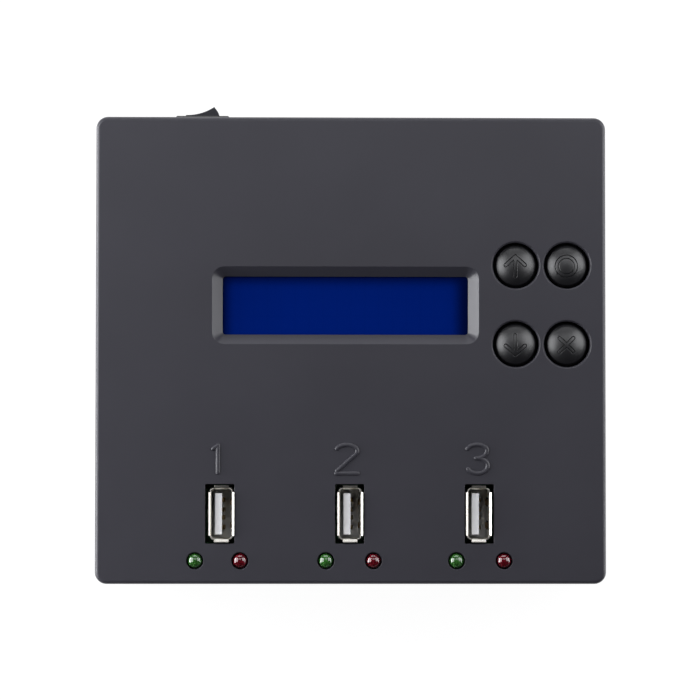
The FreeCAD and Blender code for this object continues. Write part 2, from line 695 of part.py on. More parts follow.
def module_screws():
    """The four screws that hold the display module to its posts."""
    return [
        screw(
            x, y, MODULE_BOARD_BOTTOM, MODULE_SCREW_RADIUS, MODULE_SCREW_LENGTH, MODULE_SCREW_HEAD_RADIUS,
            MODULE_SCREW_HEAD_HEIGHT,
        )
        for x, y in MODULE_SCREW_SPOTS
    ]


def board_screws():
    """The screws that hold the main board to its posts."""
    return [
        screw(
            x, y, BOARD_BOTTOM, BOARD_SCREW_RADIUS, BOARD_SCREW_LENGTH, BOARD_SCREW_HEAD_RADIUS,
            BOARD_SCREW_HEAD_HEIGHT,
        )
        for x, y in BOARD_SCREW_SPOTS
    ]


# Buttons and the push switches under them


def stem_bottom():
    """The height at which the stem of a cap rests on its plunger."""
    return BOARD_TOP + PLUNGER_TOP


def button_cap(x, y):
    """A domed cap with a flange that keeps it under the top plate, and a stem down to its plunger."""
    flange_top = PLATE_UNDERSIDE - CAP_FLANGE_GAP
    flange_bottom = flange_top - CAP_FLANGE_THICKNESS
    apex = CASE_TOP + CAP_RISE
    shoulder = apex - CAP_CROWN
    crown_radius = CAP_RADIUS - CAP_CHAMFER
    crown_sphere = (crown_radius**2 + CAP_CROWN**2) / (2 * CAP_CROWN)
    half_spread = math.asin(crown_radius / crown_sphere) / 2
    crown_middle = profile_point(
        crown_sphere * math.sin(half_spread), apex - crown_sphere * (1 - math.cos(half_spread))
    )
    cap = turned(
        x,
        y,
        profile_point(0, stem_bottom()),
        profile_point(CAP_STEM_RADIUS, stem_bottom()),
        profile_point(CAP_STEM_RADIUS, flange_bottom),
        profile_point(CAP_RADIUS, flange_bottom),
        profile_point(CAP_RADIUS, shoulder - CAP_CHAMFER),
        profile_point(crown_radius, shoulder),
        (crown_middle, profile_point(0, apex)),
    )
    disc = rod(x, y, CAP_FLANGE_RADIUS, flange_bottom, flange_top)
    lugs = disc.common(slab(x, y, CAP_FLANGE_FLATS, 2 * CAP_FLANGE_RADIUS, flange_bottom, flange_top))
    return joined([cap, lugs])


def switch_body(x, y):
    """The moulded body of a push switch, with chamfered corners and a bore for its plunger."""
    top = BOARD_TOP + SWITCH_HEIGHT
    body = slab(x, y, SWITCH_WIDTH, SWITCH_WIDTH, BOARD_TOP, top)
    upright = [edge for edge in body.Edges if abs(edge.Vertexes[0].Z - edge.Vertexes[1].Z) > 1e-6]
    body = body.makeChamfer(SWITCH_CORNER, upright)
    bore = rod(x, y, PLUNGER_RADIUS + PLUNGER_CLEARANCE, BOARD_TOP + SWITCH_FLOOR, top)
    return body.cut([bore, *switch_leg_roots(x, y)])


def plunger(x, y):
    """The round plunger of a push switch, which the stem of a cap pushes down."""
    bottom = BOARD_TOP + SWITCH_FLOOR + CAP_TRAVEL + PLUNGER_END_ROOM
    return rod(x, y, PLUNGER_RADIUS, bottom, BOARD_TOP + PLUNGER_TOP)


def switch_leg(x, y):
    """One flat leg that comes out of the side of a switch and goes down through the board."""
    return slab(x, y, LEG_THICKNESS, LEG_WIDTH, BOARD_BOTTOM - LEG_BELOW_BOARD, BOARD_TOP + LEG_HEIGHT)


def switch_leg_spots(x, y):
    """Places of the four legs of one switch."""
    return corners(x, y, LEG_SPREAD_X, LEG_SPREAD_Y)


def switch_leg_roots(x, y):
    """The notches in the sides of a switch that its legs leave from."""
    return [
        slab(leg_x, leg_y, LEG_THICKNESS, LEG_WIDTH, BOARD_TOP, BOARD_TOP + LEG_HEIGHT)
        for leg_x, leg_y in switch_leg_spots(x, y)
    ]


def switch_legs():
    """All the legs of the four switches."""
    return [switch_leg(*spot) for place in BUTTON_SPOTS.values() for spot in switch_leg_spots(*place)]


# Sockets


def socket_lip(length, wall_offset, flare):
    """One sprung lip at the mouth of a socket, facing +X: sheet that leans outward to its rim."""
    top = BOARD_TOP + SOCKET_HEIGHT
    root = top - SOCKET_FLARE_RISE - SOCKET_SHEET
    sheet = SOCKET_SHEET
    bend = SOCKET_FLARE_BEND
    inside_root = Vector(wall_offset, 0, root)
    inside_bend = Vector(wall_offset + flare * bend, 0, top - (top - root) * bend)
    inside_tip = Vector(wall_offset + flare, 0, top)
    outside_tip = Vector(wall_offset + flare, 0, top - sheet)
    outside_bend = Vector(wall_offset + sheet + (flare - sheet) * bend, 0, top - sheet - SOCKET_FLARE_RISE * bend)
    outside_root = Vector(wall_offset + sheet, 0, root)
    outline = path(inside_root, (inside_bend, inside_tip), outside_tip, (outside_bend, outside_root))
    lip = Part.Face(outline).extrude(REARWARD * length)
    lip.translate(Vector(0, -length / 2, 0))
    return lip


def placed(shape, x, y, turn=0):
    """A shape turned about the upright axis and moved to x, y."""
    moved = shape.copy()
    moved.rotate(Vector(), UPWARD, turn)
    moved.translate(Vector(x, y, 0))
    return moved


def socket_legs(x, y):
    """The four flat legs of a socket's shell, which go down through the board."""
    wall = (SOCKET_MOUTH_X + SOCKET_SHEET) / 2
    return [
        slab(x + side * wall, y + end * SOCKET_LEG_Y, SOCKET_SHEET, SOCKET_LEG_WIDTH,
             BOARD_TOP - SOCKET_LEG_DROP, BOARD_TOP)
        for side in (-1, 1)
        for end in (-1, 1)
    ]


def socket_slits(x, y, wall_top):
    """The eight slits in the rim of a socket's shell that set its lips free of the corners."""
    narrow, through = SOCKET_SLIT_WIDTH, 2 * SOCKET_SHEET
    bottom = wall_top - SOCKET_SLIT_DEPTH
    beside_long = corners(x, y, SOCKET_MOUTH_X + SOCKET_SHEET, SOCKET_LONG_LIP + narrow)
    beside_short = corners(x, y, SOCKET_SHORT_LIP + narrow, SOCKET_MOUTH_Y + SOCKET_SHEET)
    slits = [slab(*spot, through, narrow, bottom, wall_top) for spot in beside_long]
    slits += [slab(*spot, narrow, through, bottom, wall_top) for spot in beside_short]
    return slits


def socket_shell(x, y):
    """The folded metal shell of an upright socket, with four lips that lean outward at its mouth."""
    sheet = SOCKET_SHEET
    wall_top = BOARD_TOP + SOCKET_HEIGHT - SOCKET_FLARE_RISE - sheet
    outer = rounded_slab(
        x, y, SOCKET_MOUTH_X + 2 * sheet, SOCKET_MOUTH_Y + 2 * sheet, SOCKET_CORNER_RADIUS, BOARD_TOP, wall_top
    )
    inner = rounded_slab(
        x, y, SOCKET_MOUTH_X, SOCKET_MOUTH_Y, SOCKET_CORNER_RADIUS - sheet, BOARD_TOP, wall_top
    )
    long_lip = socket_lip(SOCKET_LONG_LIP, SOCKET_MOUTH_X / 2, SOCKET_LONG_LIP_FLARE)
    short_lip = socket_lip(SOCKET_SHORT_LIP, SOCKET_MOUTH_Y / 2, SOCKET_SHORT_LIP_FLARE)
    lips = [placed(long_lip, x, y, turn) for turn in (0, 180)]
    lips += [placed(short_lip, x, y, turn) for turn in (90, 270)]
    tube = outer.cut([inner, *socket_slits(x, y, wall_top)])
    return joined([tube, *lips, *socket_legs(x, y)])


def tongue_limits(x):
    """The two sides of a socket's tongue along X, which lies near the left wall of the mouth."""
    left = x - SOCKET_MOUTH_X / 2 + TONGUE_BACK_GAP
    return left, left + TONGUE_THICKNESS


def socket_contact(x, y):
    """One spring contact: a tail below the board, a root in the insulator and a bow along the tongue."""
    face = tongue_limits(x)[1]
    back = face + CONTACT_THICKNESS
    floor = BOARD_TOP + SOCKET_HEIGHT - SOCKET_DEPTH
    top = BOARD_TOP + SOCKET_HEIGHT - TONGUE_RECESS - CONTACT_END_MARGIN
    bottom = BOARD_BOTTOM - CONTACT_TAIL
    crest = (floor + top) / 2
    front = y - CONTACT_WIDTH / 2
    outline = path(
        Vector(face, front, bottom),
        Vector(face, front, floor),
        (Vector(face + CONTACT_BOW, front, crest), Vector(face, front, top)),
        Vector(back, front, top),
        (Vector(back + CONTACT_BOW, front, crest), Vector(back, front, floor)),
        Vector(back, front, bottom),
    )
    return Part.Face(outline).extrude(REARWARD * CONTACT_WIDTH)


def socket_contacts(x, y):
    """The four contacts of one socket."""
    return [socket_contact(x, y + offset) for offset in CONTACT_OFFSETS]


def socket_insulator(x, y):
    """The moulded block in the foot of a socket with its upright tongue, slotted for the contacts."""
    floor = BOARD_TOP + SOCKET_HEIGHT - SOCKET_DEPTH
    tongue_top = BOARD_TOP + SOCKET_HEIGHT - TONGUE_RECESS
    foot_block = rounded_slab(
        x,
        y,
        SOCKET_MOUTH_X - 2 * INSULATOR_CLEARANCE,
        SOCKET_MOUTH_Y - 2 * INSULATOR_CLEARANCE,
        SOCKET_CORNER_RADIUS - SOCKET_SHEET,
        BOARD_TOP,
        floor,
    )
    sides = tongue_limits(x)
    half = TONGUE_WIDTH / 2
    tongue = block(sides, (y - half, y + half), (floor, tongue_top))
    pocket_x = sides[1] + CONTACT_POCKET_AWAY + CONTACT_POCKET / 2
    pockets = [
        slab(pocket_x, y + offset + CONTACT_POCKET_BEHIND, CONTACT_POCKET, CONTACT_POCKET,
             floor - CONTACT_POCKET_DEPTH, floor)
        for offset in CONTACT_OFFSETS
    ]
    slots = [
        slab(sides[1] + CONTACT_THICKNESS / 2, y + offset, CONTACT_THICKNESS, CONTACT_WIDTH, BOARD_TOP, floor)
        for offset in CONTACT_OFFSETS
    ]
    return foot_block.fuse(tongue).cut(pockets + slots)


# Lights


def light(x, y):
    """A round light with a flange and a domed lens that stands just proud of the top plate."""
    apex = CASE_TOP + LIGHT_RISE
    bottom = apex - LIGHT_LENGTH
    flange_top = bottom + LIGHT_FLANGE_THICKNESS
    dome_start = apex - LIGHT_RADIUS
    slant = math.sqrt(0.5) * LIGHT_RADIUS
    flange_radius = LIGHT_RADIUS + LIGHT_FLANGE
    return turned(
        x,
        y,
        profile_point(0, bottom),
        profile_point(flange_radius, bottom),
        profile_point(flange_radius, flange_top),
        profile_point(LIGHT_RADIUS, flange_top),
        profile_point(LIGHT_RADIUS, dome_start),
        (profile_point(slant, dome_start + slant), profile_point(0, apex)),
    )


def light_bottom():
    """The height at which a light rests on its spacer."""
    return CASE_TOP + LIGHT_RISE - LIGHT_LENGTH


def light_leads():
    """Two square leads for each light, down through the board."""
    return [
        slab(x + side * LIGHT_LEAD_SPREAD / 2, y, LIGHT_LEAD_WIDTH, LIGHT_LEAD_WIDTH,
             BOARD_BOTTOM - LIGHT_LEAD_DROP, light_bottom())
        for x, y in LIGHT_SPOTS.values()
        for side in (-1, 1)
    ]


def light_spacers():
    """The sleeves that hold the lights at their height above the board."""
    return [
        rod(x, y, SPACER_BORE + SPACER_WALL, BOARD_TOP, light_bottom()).cut(
            rod(x, y, SPACER_BORE, BOARD_TOP, light_bottom())
        )
        for x, y in LIGHT_SPOTS.values()
    ]


# Display module


def module_slab(width, depth, bottom, top):
    """A box centred on the display module."""
    return slab(MODULE_X, CASE_Y + MODULE_Y, width, depth, bottom, top)


def header_spots():
    """Places of the pins in the row between the boards."""
    first = MODULE_X - MODULE_WIDTH / 2 + HEADER_INSET_X
    y = CASE_Y + MODULE_Y + MODULE_DEPTH / 2 - HEADER_INSET_Y
    return [(first + HEADER_PITCH * place, y) for place in range(HEADER_COUNT)]


def header_pins():
    """The pins that join the two boards, soldered to pads on the main board and through the display's."""
    top = MODULE_BOARD_TOP + HEADER_PIN_END
    return [slab(x, y, HEADER_PIN, HEADER_PIN, BOARD_TOP, top) for x, y in header_spots()]


def header_block():
    """The moulded strip that spaces the pins on the main board."""
    spots = header_spots()
    x = (spots[0][0] + spots[-1][0]) / 2
    length = HEADER_COUNT * HEADER_PITCH
    strip = slab(x, spots[0][1], length, HEADER_BLOCK_DEPTH, BOARD_TOP, BOARD_TOP + HEADER_BLOCK_HEIGHT)
    return strip.cut(header_pins())


def display_board():
    """The board of the display module, with its screw holes and the holes of the pin row."""
    board = module_slab(MODULE_WIDTH, MODULE_DEPTH, MODULE_BOARD_BOTTOM, MODULE_BOARD_TOP)
    hole = MODULE_SCREW_RADIUS + SCREW_HOLE_CLEARANCE
    holes = [rod(x, y, hole, MODULE_BOARD_BOTTOM, MODULE_BOARD_TOP) for x, y in MODULE_SCREW_SPOTS]
    return board.cut(holes + header_pins())


def display_frame():
    """The folded metal frame over the glass, open in the middle and at its foot."""
    sheet = MODULE_FRAME_SHEET
    width, depth = MODULE_FRAME_WIDTH, MODULE_FRAME_DEPTH
    frame = module_slab(width, depth, MODULE_BOARD_TOP, PLATE_UNDERSIDE)
    inside = module_slab(width - 2 * sheet, depth - 2 * sheet, MODULE_BOARD_TOP, PLATE_UNDERSIDE - sheet)
    view = module_slab(MODULE_VIEW_WIDTH, MODULE_VIEW_DEPTH, MODULE_BOARD_TOP, PLATE_UNDERSIDE)
    return frame.cut([inside, view])


def module_core(bottom, top):
    """A slab that fills the inside of the display frame."""
    inset = 2 * (MODULE_FRAME_SHEET + MODULE_INNER_CLEARANCE)
    return module_slab(MODULE_FRAME_WIDTH - inset, MODULE_FRAME_DEPTH - inset, bottom, top)


def display_glass():
    """The glass sandwich of the display, held under the frame."""
    top = PLATE_UNDERSIDE - MODULE_FRAME_SHEET
    return module_core(top - MODULE_GLASS, top)


def display_backlight():
    """The light guide between the board of the display and its glass."""
    return module_core(MODULE_BOARD_TOP, PLATE_UNDERSIDE - MODULE_FRAME_SHEET - MODULE_GLASS)


# Main board and what is soldered to it


def board_limits():
    """The front and rear edges of the main board along Y."""
    front = CASE_Y - CASE_DEPTH / 2 + WALL + BOARD_MARGIN_FRONT
    return front, REAR_WALL_INSIDE_Y - BOARD_MARGIN_REAR


def main_board():
    """The main board, notched at its corners for the posts of the case and pierced for what it carries."""
    front, rear = board_limits()
    half_width = CASE_WIDTH / 2 - WALL - BOARD_MARGIN_SIDES
    middle = (front + rear) / 2
    board = rounded_slab(
        0, middle, 2 * half_width, rear - front, BOARD_CORNER_RADIUS, BOARD_BOTTOM, BOARD_TOP
    )
    notches = [
        slab(x, y, 2 * BOARD_NOTCH_X, 2 * BOARD_NOTCH_Y, BOARD_BOTTOM, BOARD_TOP)
        for x, y in corners(0, middle, 2 * half_width, rear - front)
    ]
    screw_hole = BOARD_SCREW_RADIUS + SCREW_HOLE_CLEARANCE
    holes = [rod(x, y, screw_hole, BOARD_BOTTOM, BOARD_TOP) for x, y in BOARD_SCREW_SPOTS]
    soldered = switch_legs() + light_leads() + jack_tabs()
    for spot in SOCKET_SPOTS:
        soldered += socket_legs(*spot) + socket_contacts(*spot)
    return board.cut(notches + holes + soldered)


def chip(x, y, width, depth, height):
    """A moulded chip on the board with chamfered upper edges."""
    body = slab(x, y, width, depth, BOARD_TOP, BOARD_TOP + height)
    rim = [edge for edge in body.Edges if all(v.Z > BOARD_TOP + height / 2 for v in edge.Vertexes)]
    return body.makeChamfer(CHIP_EDGE, rim)


def controller_chip():
    """The square controller chip with a low skirt of legs on its four sides."""
    y = CASE_Y + CHIP_ROW_Y
    span = CONTROLLER_WIDTH + 2 * CONTROLLER_LEG
    top = BOARD_TOP + CONTROLLER_LEG_HEIGHT
    legs = slab(CONTROLLER_X, y, span, CONTROLLER_WIDTH - 2 * CONTROLLER_LEG, BOARD_TOP, top)
    more_legs = slab(CONTROLLER_X, y, CONTROLLER_WIDTH - 2 * CONTROLLER_LEG, span, BOARD_TOP, top)
    body = chip(CONTROLLER_X, y, CONTROLLER_WIDTH, CONTROLLER_WIDTH, CONTROLLER_HEIGHT)
    return joined([body, legs, more_legs])


def memory_chip():
    """The small memory chip."""
    return chip(MEMORY_X, CASE_Y + CHIP_ROW_Y, MEMORY_WIDTH, MEMORY_DEPTH, CONTROLLER_HEIGHT)


def crystal():
    """The crystal in its low can with round ends."""
    y = CASE_Y + CHIP_ROW_Y
    radius = CRYSTAL_DEPTH / 2 - CHIP_EDGE / 2
    can = rounded_slab(
        CRYSTAL_X, y, CRYSTAL_WIDTH, CRYSTAL_DEPTH, radius, BOARD_TOP, BOARD_TOP + CRYSTAL_HEIGHT
    )
    return chamfered_at(can, BOARD_TOP + CRYSTAL_HEIGHT, CHIP_EDGE)


def regulator():
    """The voltage regulator beside the power inlet."""
    return chip(REGULATOR_X, CASE_Y + SUPPLY_Y, REGULATOR_WIDTH, REGULATOR_DEPTH, REGULATOR_HEIGHT)


def capacitor(x, y):
    """A round can on a square moulded foot."""
    foot_top = BOARD_TOP + CAPACITOR_RIM
    foot_plate = slab(x, y, 2 * CAPACITOR_RADIUS, 2 * CAPACITOR_RADIUS, BOARD_TOP, foot_top)
    can = rod(x, y, CAPACITOR_RADIUS, foot_top, BOARD_TOP + CAPACITOR_HEIGHT)
    return joined([foot_plate, chamfered_at(can, BOARD_TOP + CAPACITOR_HEIGHT, CAPACITOR_RIM)])


def capacitors():
    """The round capacitors, which smooth the supply of the board and of the sockets."""
    places = [(x, CASE_Y + SUPPLY_Y) for x in SUPPLY_CAPACITORS_X]
    for (left_x, y), (right_x, _) in zip(SOCKET_SPOTS, SOCKET_SPOTS[1:]):
        places.append(((left_x + right_x) / 2, y - SOCKET_CAPACITORS_AHEAD))
    return [capacitor(*place) for place in places]


# Power rocker


def rear_frame(shape, height):
    """A shape drawn about the origin on the rear wall plane, moved to the rocker's axis at a height."""
    return shape.translated(Vector(ROCKER_X, REAR_WALL_Y, height))


def ring_point(radius, angle):
    """A point at an angle in degrees from +X about the rocker's axis."""
    turn = math.radians(angle)
    return Vector(radius * math.cos(turn), radius * math.sin(turn), 0)


def mirrored_point(point):
    """The same point on the other end of the rocker."""
    return Vector(-point.x, point.y, point.z)


def rocker_outline():
    """The rocker seen along its axis: two round ends, raised tips and a dished face between them."""
    tip = ring_point(ROCKER_TIP_RADIUS, ROCKER_TIP_ANGLE)
    end_top = ring_point(ROCKER_END_RADIUS, ROCKER_TIP_ANGLE - ROCKER_TIP_DROP)
    end_middle = ring_point(ROCKER_END_RADIUS, 0)
    end_foot = ring_point(ROCKER_END_RADIUS, -ROCKER_SKIRT_ANGLE)
    keel_side = Vector(ROCKER_KEEL_RADIUS, end_foot.y, 0)
    keel_end = Vector(ROCKER_KEEL_RADIUS, end_foot.y - ROCKER_KEEL_DROP, 0)
    keel_tip = Vector(0, keel_end.y - ROCKER_KEEL_RADIUS, 0)
    return path(
        mirrored_point(tip),
        (Vector(0, tip.y - ROCKER_DISH, 0), tip),
        end_top,
        (end_middle, end_foot),
        keel_side,
        keel_end,
        (keel_tip, mirrored_point(keel_end)),
        mirrored_point(keel_side),
        mirrored_point(end_foot),
        (mirrored_point(end_middle), mirrored_point(end_top)),
    )


def rocker():
    """The rocker with its two pivot stubs, tilted as photographed, with its right end out."""
    half = ROCKER_THICKNESS / 2
    body = Part.Face(rocker_outline()).extrude(UPWARD * 2 * half)
    body.translate(UPWARD * -half)
    reach = half + ROCKER_PIVOT_LENGTH
    pivots = rod(0, 0, ROCKER_PIVOT_RADIUS, -reach, reach)
    tilted = joined([body, pivots])
    tilted.rotate(Vector(), UPWARD, ROCKER_TILT)
    return rear_frame(tilted, ROCKER_HEIGHT)


def snap_wedge(side):
    """The sprung wedge on one side of the rocker's body that grips the wall from inside."""
    start = side * ROCKER_BODY_WIDTH / 2
    peak = start + side * ROCKER_SNAP_REACH
    wedge = Part.Face(
        path(
            Vector(start, -WALL - ROCKER_SNAP_GAP, 0),
            Vector(peak, -WALL - ROCKER_SNAP_GAP, 0),
            Vector(start, -WALL - ROCKER_SNAP_LENGTH, 0),
        )
    ).extrude(UPWARD * ROCKER_SNAP_HEIGHT)
    return wedge.translated(UPWARD * -ROCKER_SNAP_HEIGHT / 2)


def terminal(side):
    """One flat blade at the rear of the rocker's body, drawn about the origin."""
    x = side * TERMINAL_SPREAD / 2
    half_width = TERMINAL_WIDTH / 2
    rear = -ROCKER_BODY_DEPTH
    half = TERMINAL_THICKNESS / 2
    return block(
        (x - half, x + half), (rear - TERMINAL_LENGTH, rear + TERMINAL_ROOT), (-half_width, half_width)
    )


def rocker_terminals():
    """The two blades of the rocker."""
    return [rear_frame(terminal(side), ROCKER_HEIGHT) for side in (-1, 1)]


def rocker_frame():
    """The bezel and hollow body of the rocker, with its pivot holes and snap wedges."""
    half_width, half_height = ROCKER_BEZEL_WIDTH / 2, ROCKER_BEZEL_HEIGHT / 2
    bezel = block((-half_width, half_width), (0, ROCKER_BEZEL_STAND), (-half_height, half_height))
    front = [edge for edge in bezel.Edges if all(v.Y > ROCKER_BEZEL_STAND / 2 for v in edge.Vertexes)]
    bezel = bezel.makeChamfer(ROCKER_BEZEL_BEVEL, front)
    body_half, body_rise = ROCKER_BODY_WIDTH / 2, ROCKER_BODY_HEIGHT / 2
    body = block((-body_half, body_half), (-ROCKER_BODY_DEPTH, 0), (-body_rise, body_rise))
    chamber_half, chamber_rise = ROCKER_CHAMBER_WIDTH / 2, ROCKER_CHAMBER_HEIGHT / 2
    chamber = block(
        (-chamber_half, chamber_half),
        (ROCKER_BODY_FLOOR - ROCKER_BODY_DEPTH, ROCKER_BEZEL_STAND),
        (-chamber_rise, chamber_rise),
    )
    pivot_reach = chamber_rise + ROCKER_PIVOT_LENGTH
    pivot_holes = rod(0, 0, ROCKER_PIVOT_RADIUS + ROCKER_PIVOT_CLEARANCE, -pivot_reach, pivot_reach)
    frame = joined([bezel, body, snap_wedge(-1), snap_wedge(1)])
    frame = frame.cut([chamber, pivot_holes, terminal(-1), terminal(1)])
    return rear_frame(frame, ROCKER_HEIGHT)


# Leads from the rocker to the board


def bent_line(points):
    """An open wire of straight runs, joined by the largest tangent arcs that leave some of each straight."""
    edges = []
    here = points[0]
    for before, corner, after in zip(points, points[1:], points[2:]):
        arriving, leaving = corner - before, after - corner
        reach = LEAD_ARC_SHARE * min(arriving.Length, leaving.Length)
        half_turn = arriving.getAngle(leaving) / 2
        radius = reach / math.tan(half_turn)
        arriving.normalize()
        leaving.normalize()
        start, end = corner - arriving * reach, corner + leaving * reach
        inward = leaving - arriving
        inward.normalize()
        middle = corner + inward * (radius / math.cos(half_turn) - radius)
        edges.append(Part.LineSegment(here, start).toShape())
        edges.append(Part.Arc(start, middle, end).toShape())
        here = end
        print(f"lead bend radius {radius:.2f}")
    edges.append(Part.LineSegment(here, points[-1]).toShape())
    return Part.Wire(edges)


def lead_socket_mouth():
    """Where the leads enter their socket: Y of its rear face, and the height of the leads."""
    y = REAR_WALL_Y - ROCKER_BODY_DEPTH - TERMINAL_LENGTH - LEAD_SOCKET_REACH
    return y, BOARD_TOP + LEAD_SOCKET_HEIGHT / 2


def power_lead(side):
    """One insulated lead from a blade of the rocker down to its socket."""
    mouth_y, mouth_height = lead_socket_mouth()
    start_y = mouth_y + LEAD_SOCKET_REACH
    start_x = ROCKER_X + side * TERMINAL_SPREAD / 2
    end_x = ROCKER_X + side * LEAD_SOCKET_SPREAD / 2
    points = [
        Vector(start_x, start_y, ROCKER_HEIGHT),
        Vector(start_x, start_y - LEAD_STRAIGHT, ROCKER_HEIGHT),
        Vector(end_x, mouth_y + LEAD_STRAIGHT, mouth_height),
        Vector(end_x, mouth_y - LEAD_ENTRY, mouth_height),
    ]
    line = bent_line(points)
    section = Part.Wire(Part.makeCircle(LEAD_RADIUS, points[0], REARWARD))
    tube = line.makePipeShell([section], True, False)
    print(f"lead volume {tube.Volume:.2f}, section times length {math.pi * LEAD_RADIUS**2 * line.Length:.2f}")
    return tube


def lead_socket():
    """The small socket on the board that the leads plug into from the rear."""
    mouth_y, mouth_height = lead_socket_mouth()
    body = block(
        (ROCKER_X - LEAD_SOCKET_WIDTH / 2, ROCKER_X + LEAD_SOCKET_WIDTH / 2),
        (mouth_y - LEAD_SOCKET_DEPTH, mouth_y),
        (BOARD_TOP, BOARD_TOP + LEAD_SOCKET_HEIGHT),
    )
    radius = LEAD_RADIUS + LEAD_CLEARANCE
    entries = [
        Part.makeCylinder(
            radius,
            LEAD_ENTRY,
            Vector(ROCKER_X + side * LEAD_SOCKET_SPREAD / 2, mouth_y - LEAD_ENTRY, mouth_height),
            REARWARD,
        )
        for side in (-1, 1)
    ]
    return body.cut(entries)


# Power inlet


def along_jack(radius, start_y, end_y):
    """A cylinder on the axis of the inlet."""
    return Part.makeCylinder(
        radius, end_y - start_y, Vector(JACK_X, start_y, BOARD_TOP + JACK_AXIS_HEIGHT), REARWARD
    )


def jack_face_y():
    """The outer face of the inlet's nose."""
    return REAR_WALL_Y - JACK_NOSE_RECESS


def jack_pin():
    """The round centre pin with a chamfered end and a thicker root, held in the body of the inlet."""
    bore_bottom = jack_face_y() - JACK_BORE_DEPTH
    root_end = bore_bottom + JACK_PIN_ROOT_STAND
    pin = along_jack(JACK_PIN_RADIUS, root_end, bore_bottom + JACK_PIN_LENGTH)
    front = [edge for edge in pin.Edges if all(v.Y > root_end for v in edge.Vertexes)]
    root = along_jack(JACK_PIN_ROOT_RADIUS, bore_bottom - JACK_PIN_ROOT_DEPTH, root_end)
    return joined([pin.makeChamfer(JACK_PIN_CHAMFER, front), root])


def jack_body():
    """The moulded body of the inlet with its round nose and its bore."""
    body = slab(
        JACK_X,
        REAR_WALL_INSIDE_Y - JACK_DEPTH / 2,
        JACK_WIDTH,
        JACK_DEPTH,
        BOARD_TOP,
        BOARD_TOP + JACK_HEIGHT,
    )
    nose = along_jack(JACK_NOSE_RADIUS, REAR_WALL_INSIDE_Y, jack_face_y())
    bore_bottom = jack_face_y() - JACK_BORE_DEPTH
    bore = along_jack(JACK_BORE_RADIUS, bore_bottom, jack_face_y())
    pin_seat = along_jack(JACK_PIN_ROOT_RADIUS, bore_bottom - JACK_PIN_ROOT_DEPTH, bore_bottom)
    return body.fuse(nose).cut([bore, pin_seat])


def jack_tabs():
    """The flat tabs of the inlet, which go down through the board."""
    bottom = BOARD_BOTTOM - JACK_TAB_DROP
    rear_y = REAR_WALL_INSIDE_Y - JACK_DEPTH + JACK_TAB_INSET
    return [
        slab(JACK_X, rear_y + JACK_TAB_STEP * place, JACK_TAB_WIDTH, JACK_TAB_THICKNESS, bottom, BOARD_TOP)
        for place in range(2)
    ]


def main():
    """Builds every piece and writes one file for each."""
    os.makedirs("parts", exist_ok=True)
    nodes = {
        "top_shell": top_shell(),
        "bottom_shell": bottom_shell(),
        "case_screws": case_screws(),
        "board_screws": board_screws(),
        "display_screws": module_screws(),
        "switch_legs": switch_legs(),
        "led_leads": light_leads(),
        "led_spacers": light_spacers(),
        "display_board": display_board(),
        "display_frame": display_frame(),
        "display_glass": display_glass(),
        "display_backlight": display_backlight(),
        "header_pins": header_pins(),
        "header_block": header_block(),
        "main_board": main_board(),
        "controller_chip": controller_chip(),
        "memory_chip": memory_chip(),
        "crystal": crystal(),
        "regulator": regulator(),
        "capacitors": capacitors(),
        "rocker_frame": rocker_frame(),
        "rocker": rocker(),
        "rocker_terminals": rocker_terminals(),
        "power_lead_left": power_lead(-1),
        "power_lead_right": power_lead(1),
        "lead_socket": lead_socket(),
        "jack_body": jack_body(),
        "jack_pin": jack_pin(),
        "jack_tabs": jack_tabs(),
    }
    for name, spot in zip(("front_left", "front_right", "rear_left", "rear_right"), FOOT_SPOTS):
        nodes[f"foot_{name}"] = foot(*spot)
    for name, spot in BUTTON_SPOTS.items():
        nodes[f"button_{name}"] = button_cap(*spot)
        nodes[f"switch_body_{name}"] = switch_body(*spot)
        nodes[f"plunger_{name}"] = plunger(*spot)
    for number, spot in enumerate(SOCKET_SPOTS, start=1):
        nodes[f"usb_shell_{number}"] = socket_shell(*spot)
        nodes[f"usb_insulator_{number}"] = socket_insulator(*spot)
        nodes[f"usb_contacts_{number}"] = socket_contacts(*spot)
    for name, spot in LIGHT_SPOTS.items():
        nodes[f"led_{name}"] = light(*spot)
    for name, shape in nodes.items():
        save(name, Part.makeCompound(shape) if isinstance(shape, list) else shape)


main()
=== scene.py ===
import json
import logging
import math
from collections.abc import Callable
from dataclasses import dataclass, field
from enum import Enum
from functools import partial

import bmesh
import bpy
from mathutils import Matrix, Vector


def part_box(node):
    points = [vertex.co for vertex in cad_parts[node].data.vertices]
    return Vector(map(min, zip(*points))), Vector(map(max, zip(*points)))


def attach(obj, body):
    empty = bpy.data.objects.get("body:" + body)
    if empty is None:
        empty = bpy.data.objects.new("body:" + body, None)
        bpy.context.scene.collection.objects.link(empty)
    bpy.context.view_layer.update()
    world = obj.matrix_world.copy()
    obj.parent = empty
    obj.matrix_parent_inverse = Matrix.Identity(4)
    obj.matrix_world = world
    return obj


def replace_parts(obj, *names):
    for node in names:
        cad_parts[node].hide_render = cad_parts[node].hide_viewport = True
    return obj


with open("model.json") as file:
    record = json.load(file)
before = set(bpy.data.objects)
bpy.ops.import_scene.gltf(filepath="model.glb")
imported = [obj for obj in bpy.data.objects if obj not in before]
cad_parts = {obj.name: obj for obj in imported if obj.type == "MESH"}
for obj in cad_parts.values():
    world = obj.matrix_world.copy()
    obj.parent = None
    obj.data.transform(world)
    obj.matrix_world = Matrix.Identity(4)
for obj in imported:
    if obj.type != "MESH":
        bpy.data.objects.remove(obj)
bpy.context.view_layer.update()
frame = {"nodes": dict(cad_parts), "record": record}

MM = 0.001
LOG = logging.getLogger("duplicator")
COLLECTION = bpy.context.scene.collection

Colour = tuple[float, float, float]
Point = tuple[float, float]

# Noise lies mostly between these values
NOISE_LOW = 0.3
NOISE_HIGH = 0.7

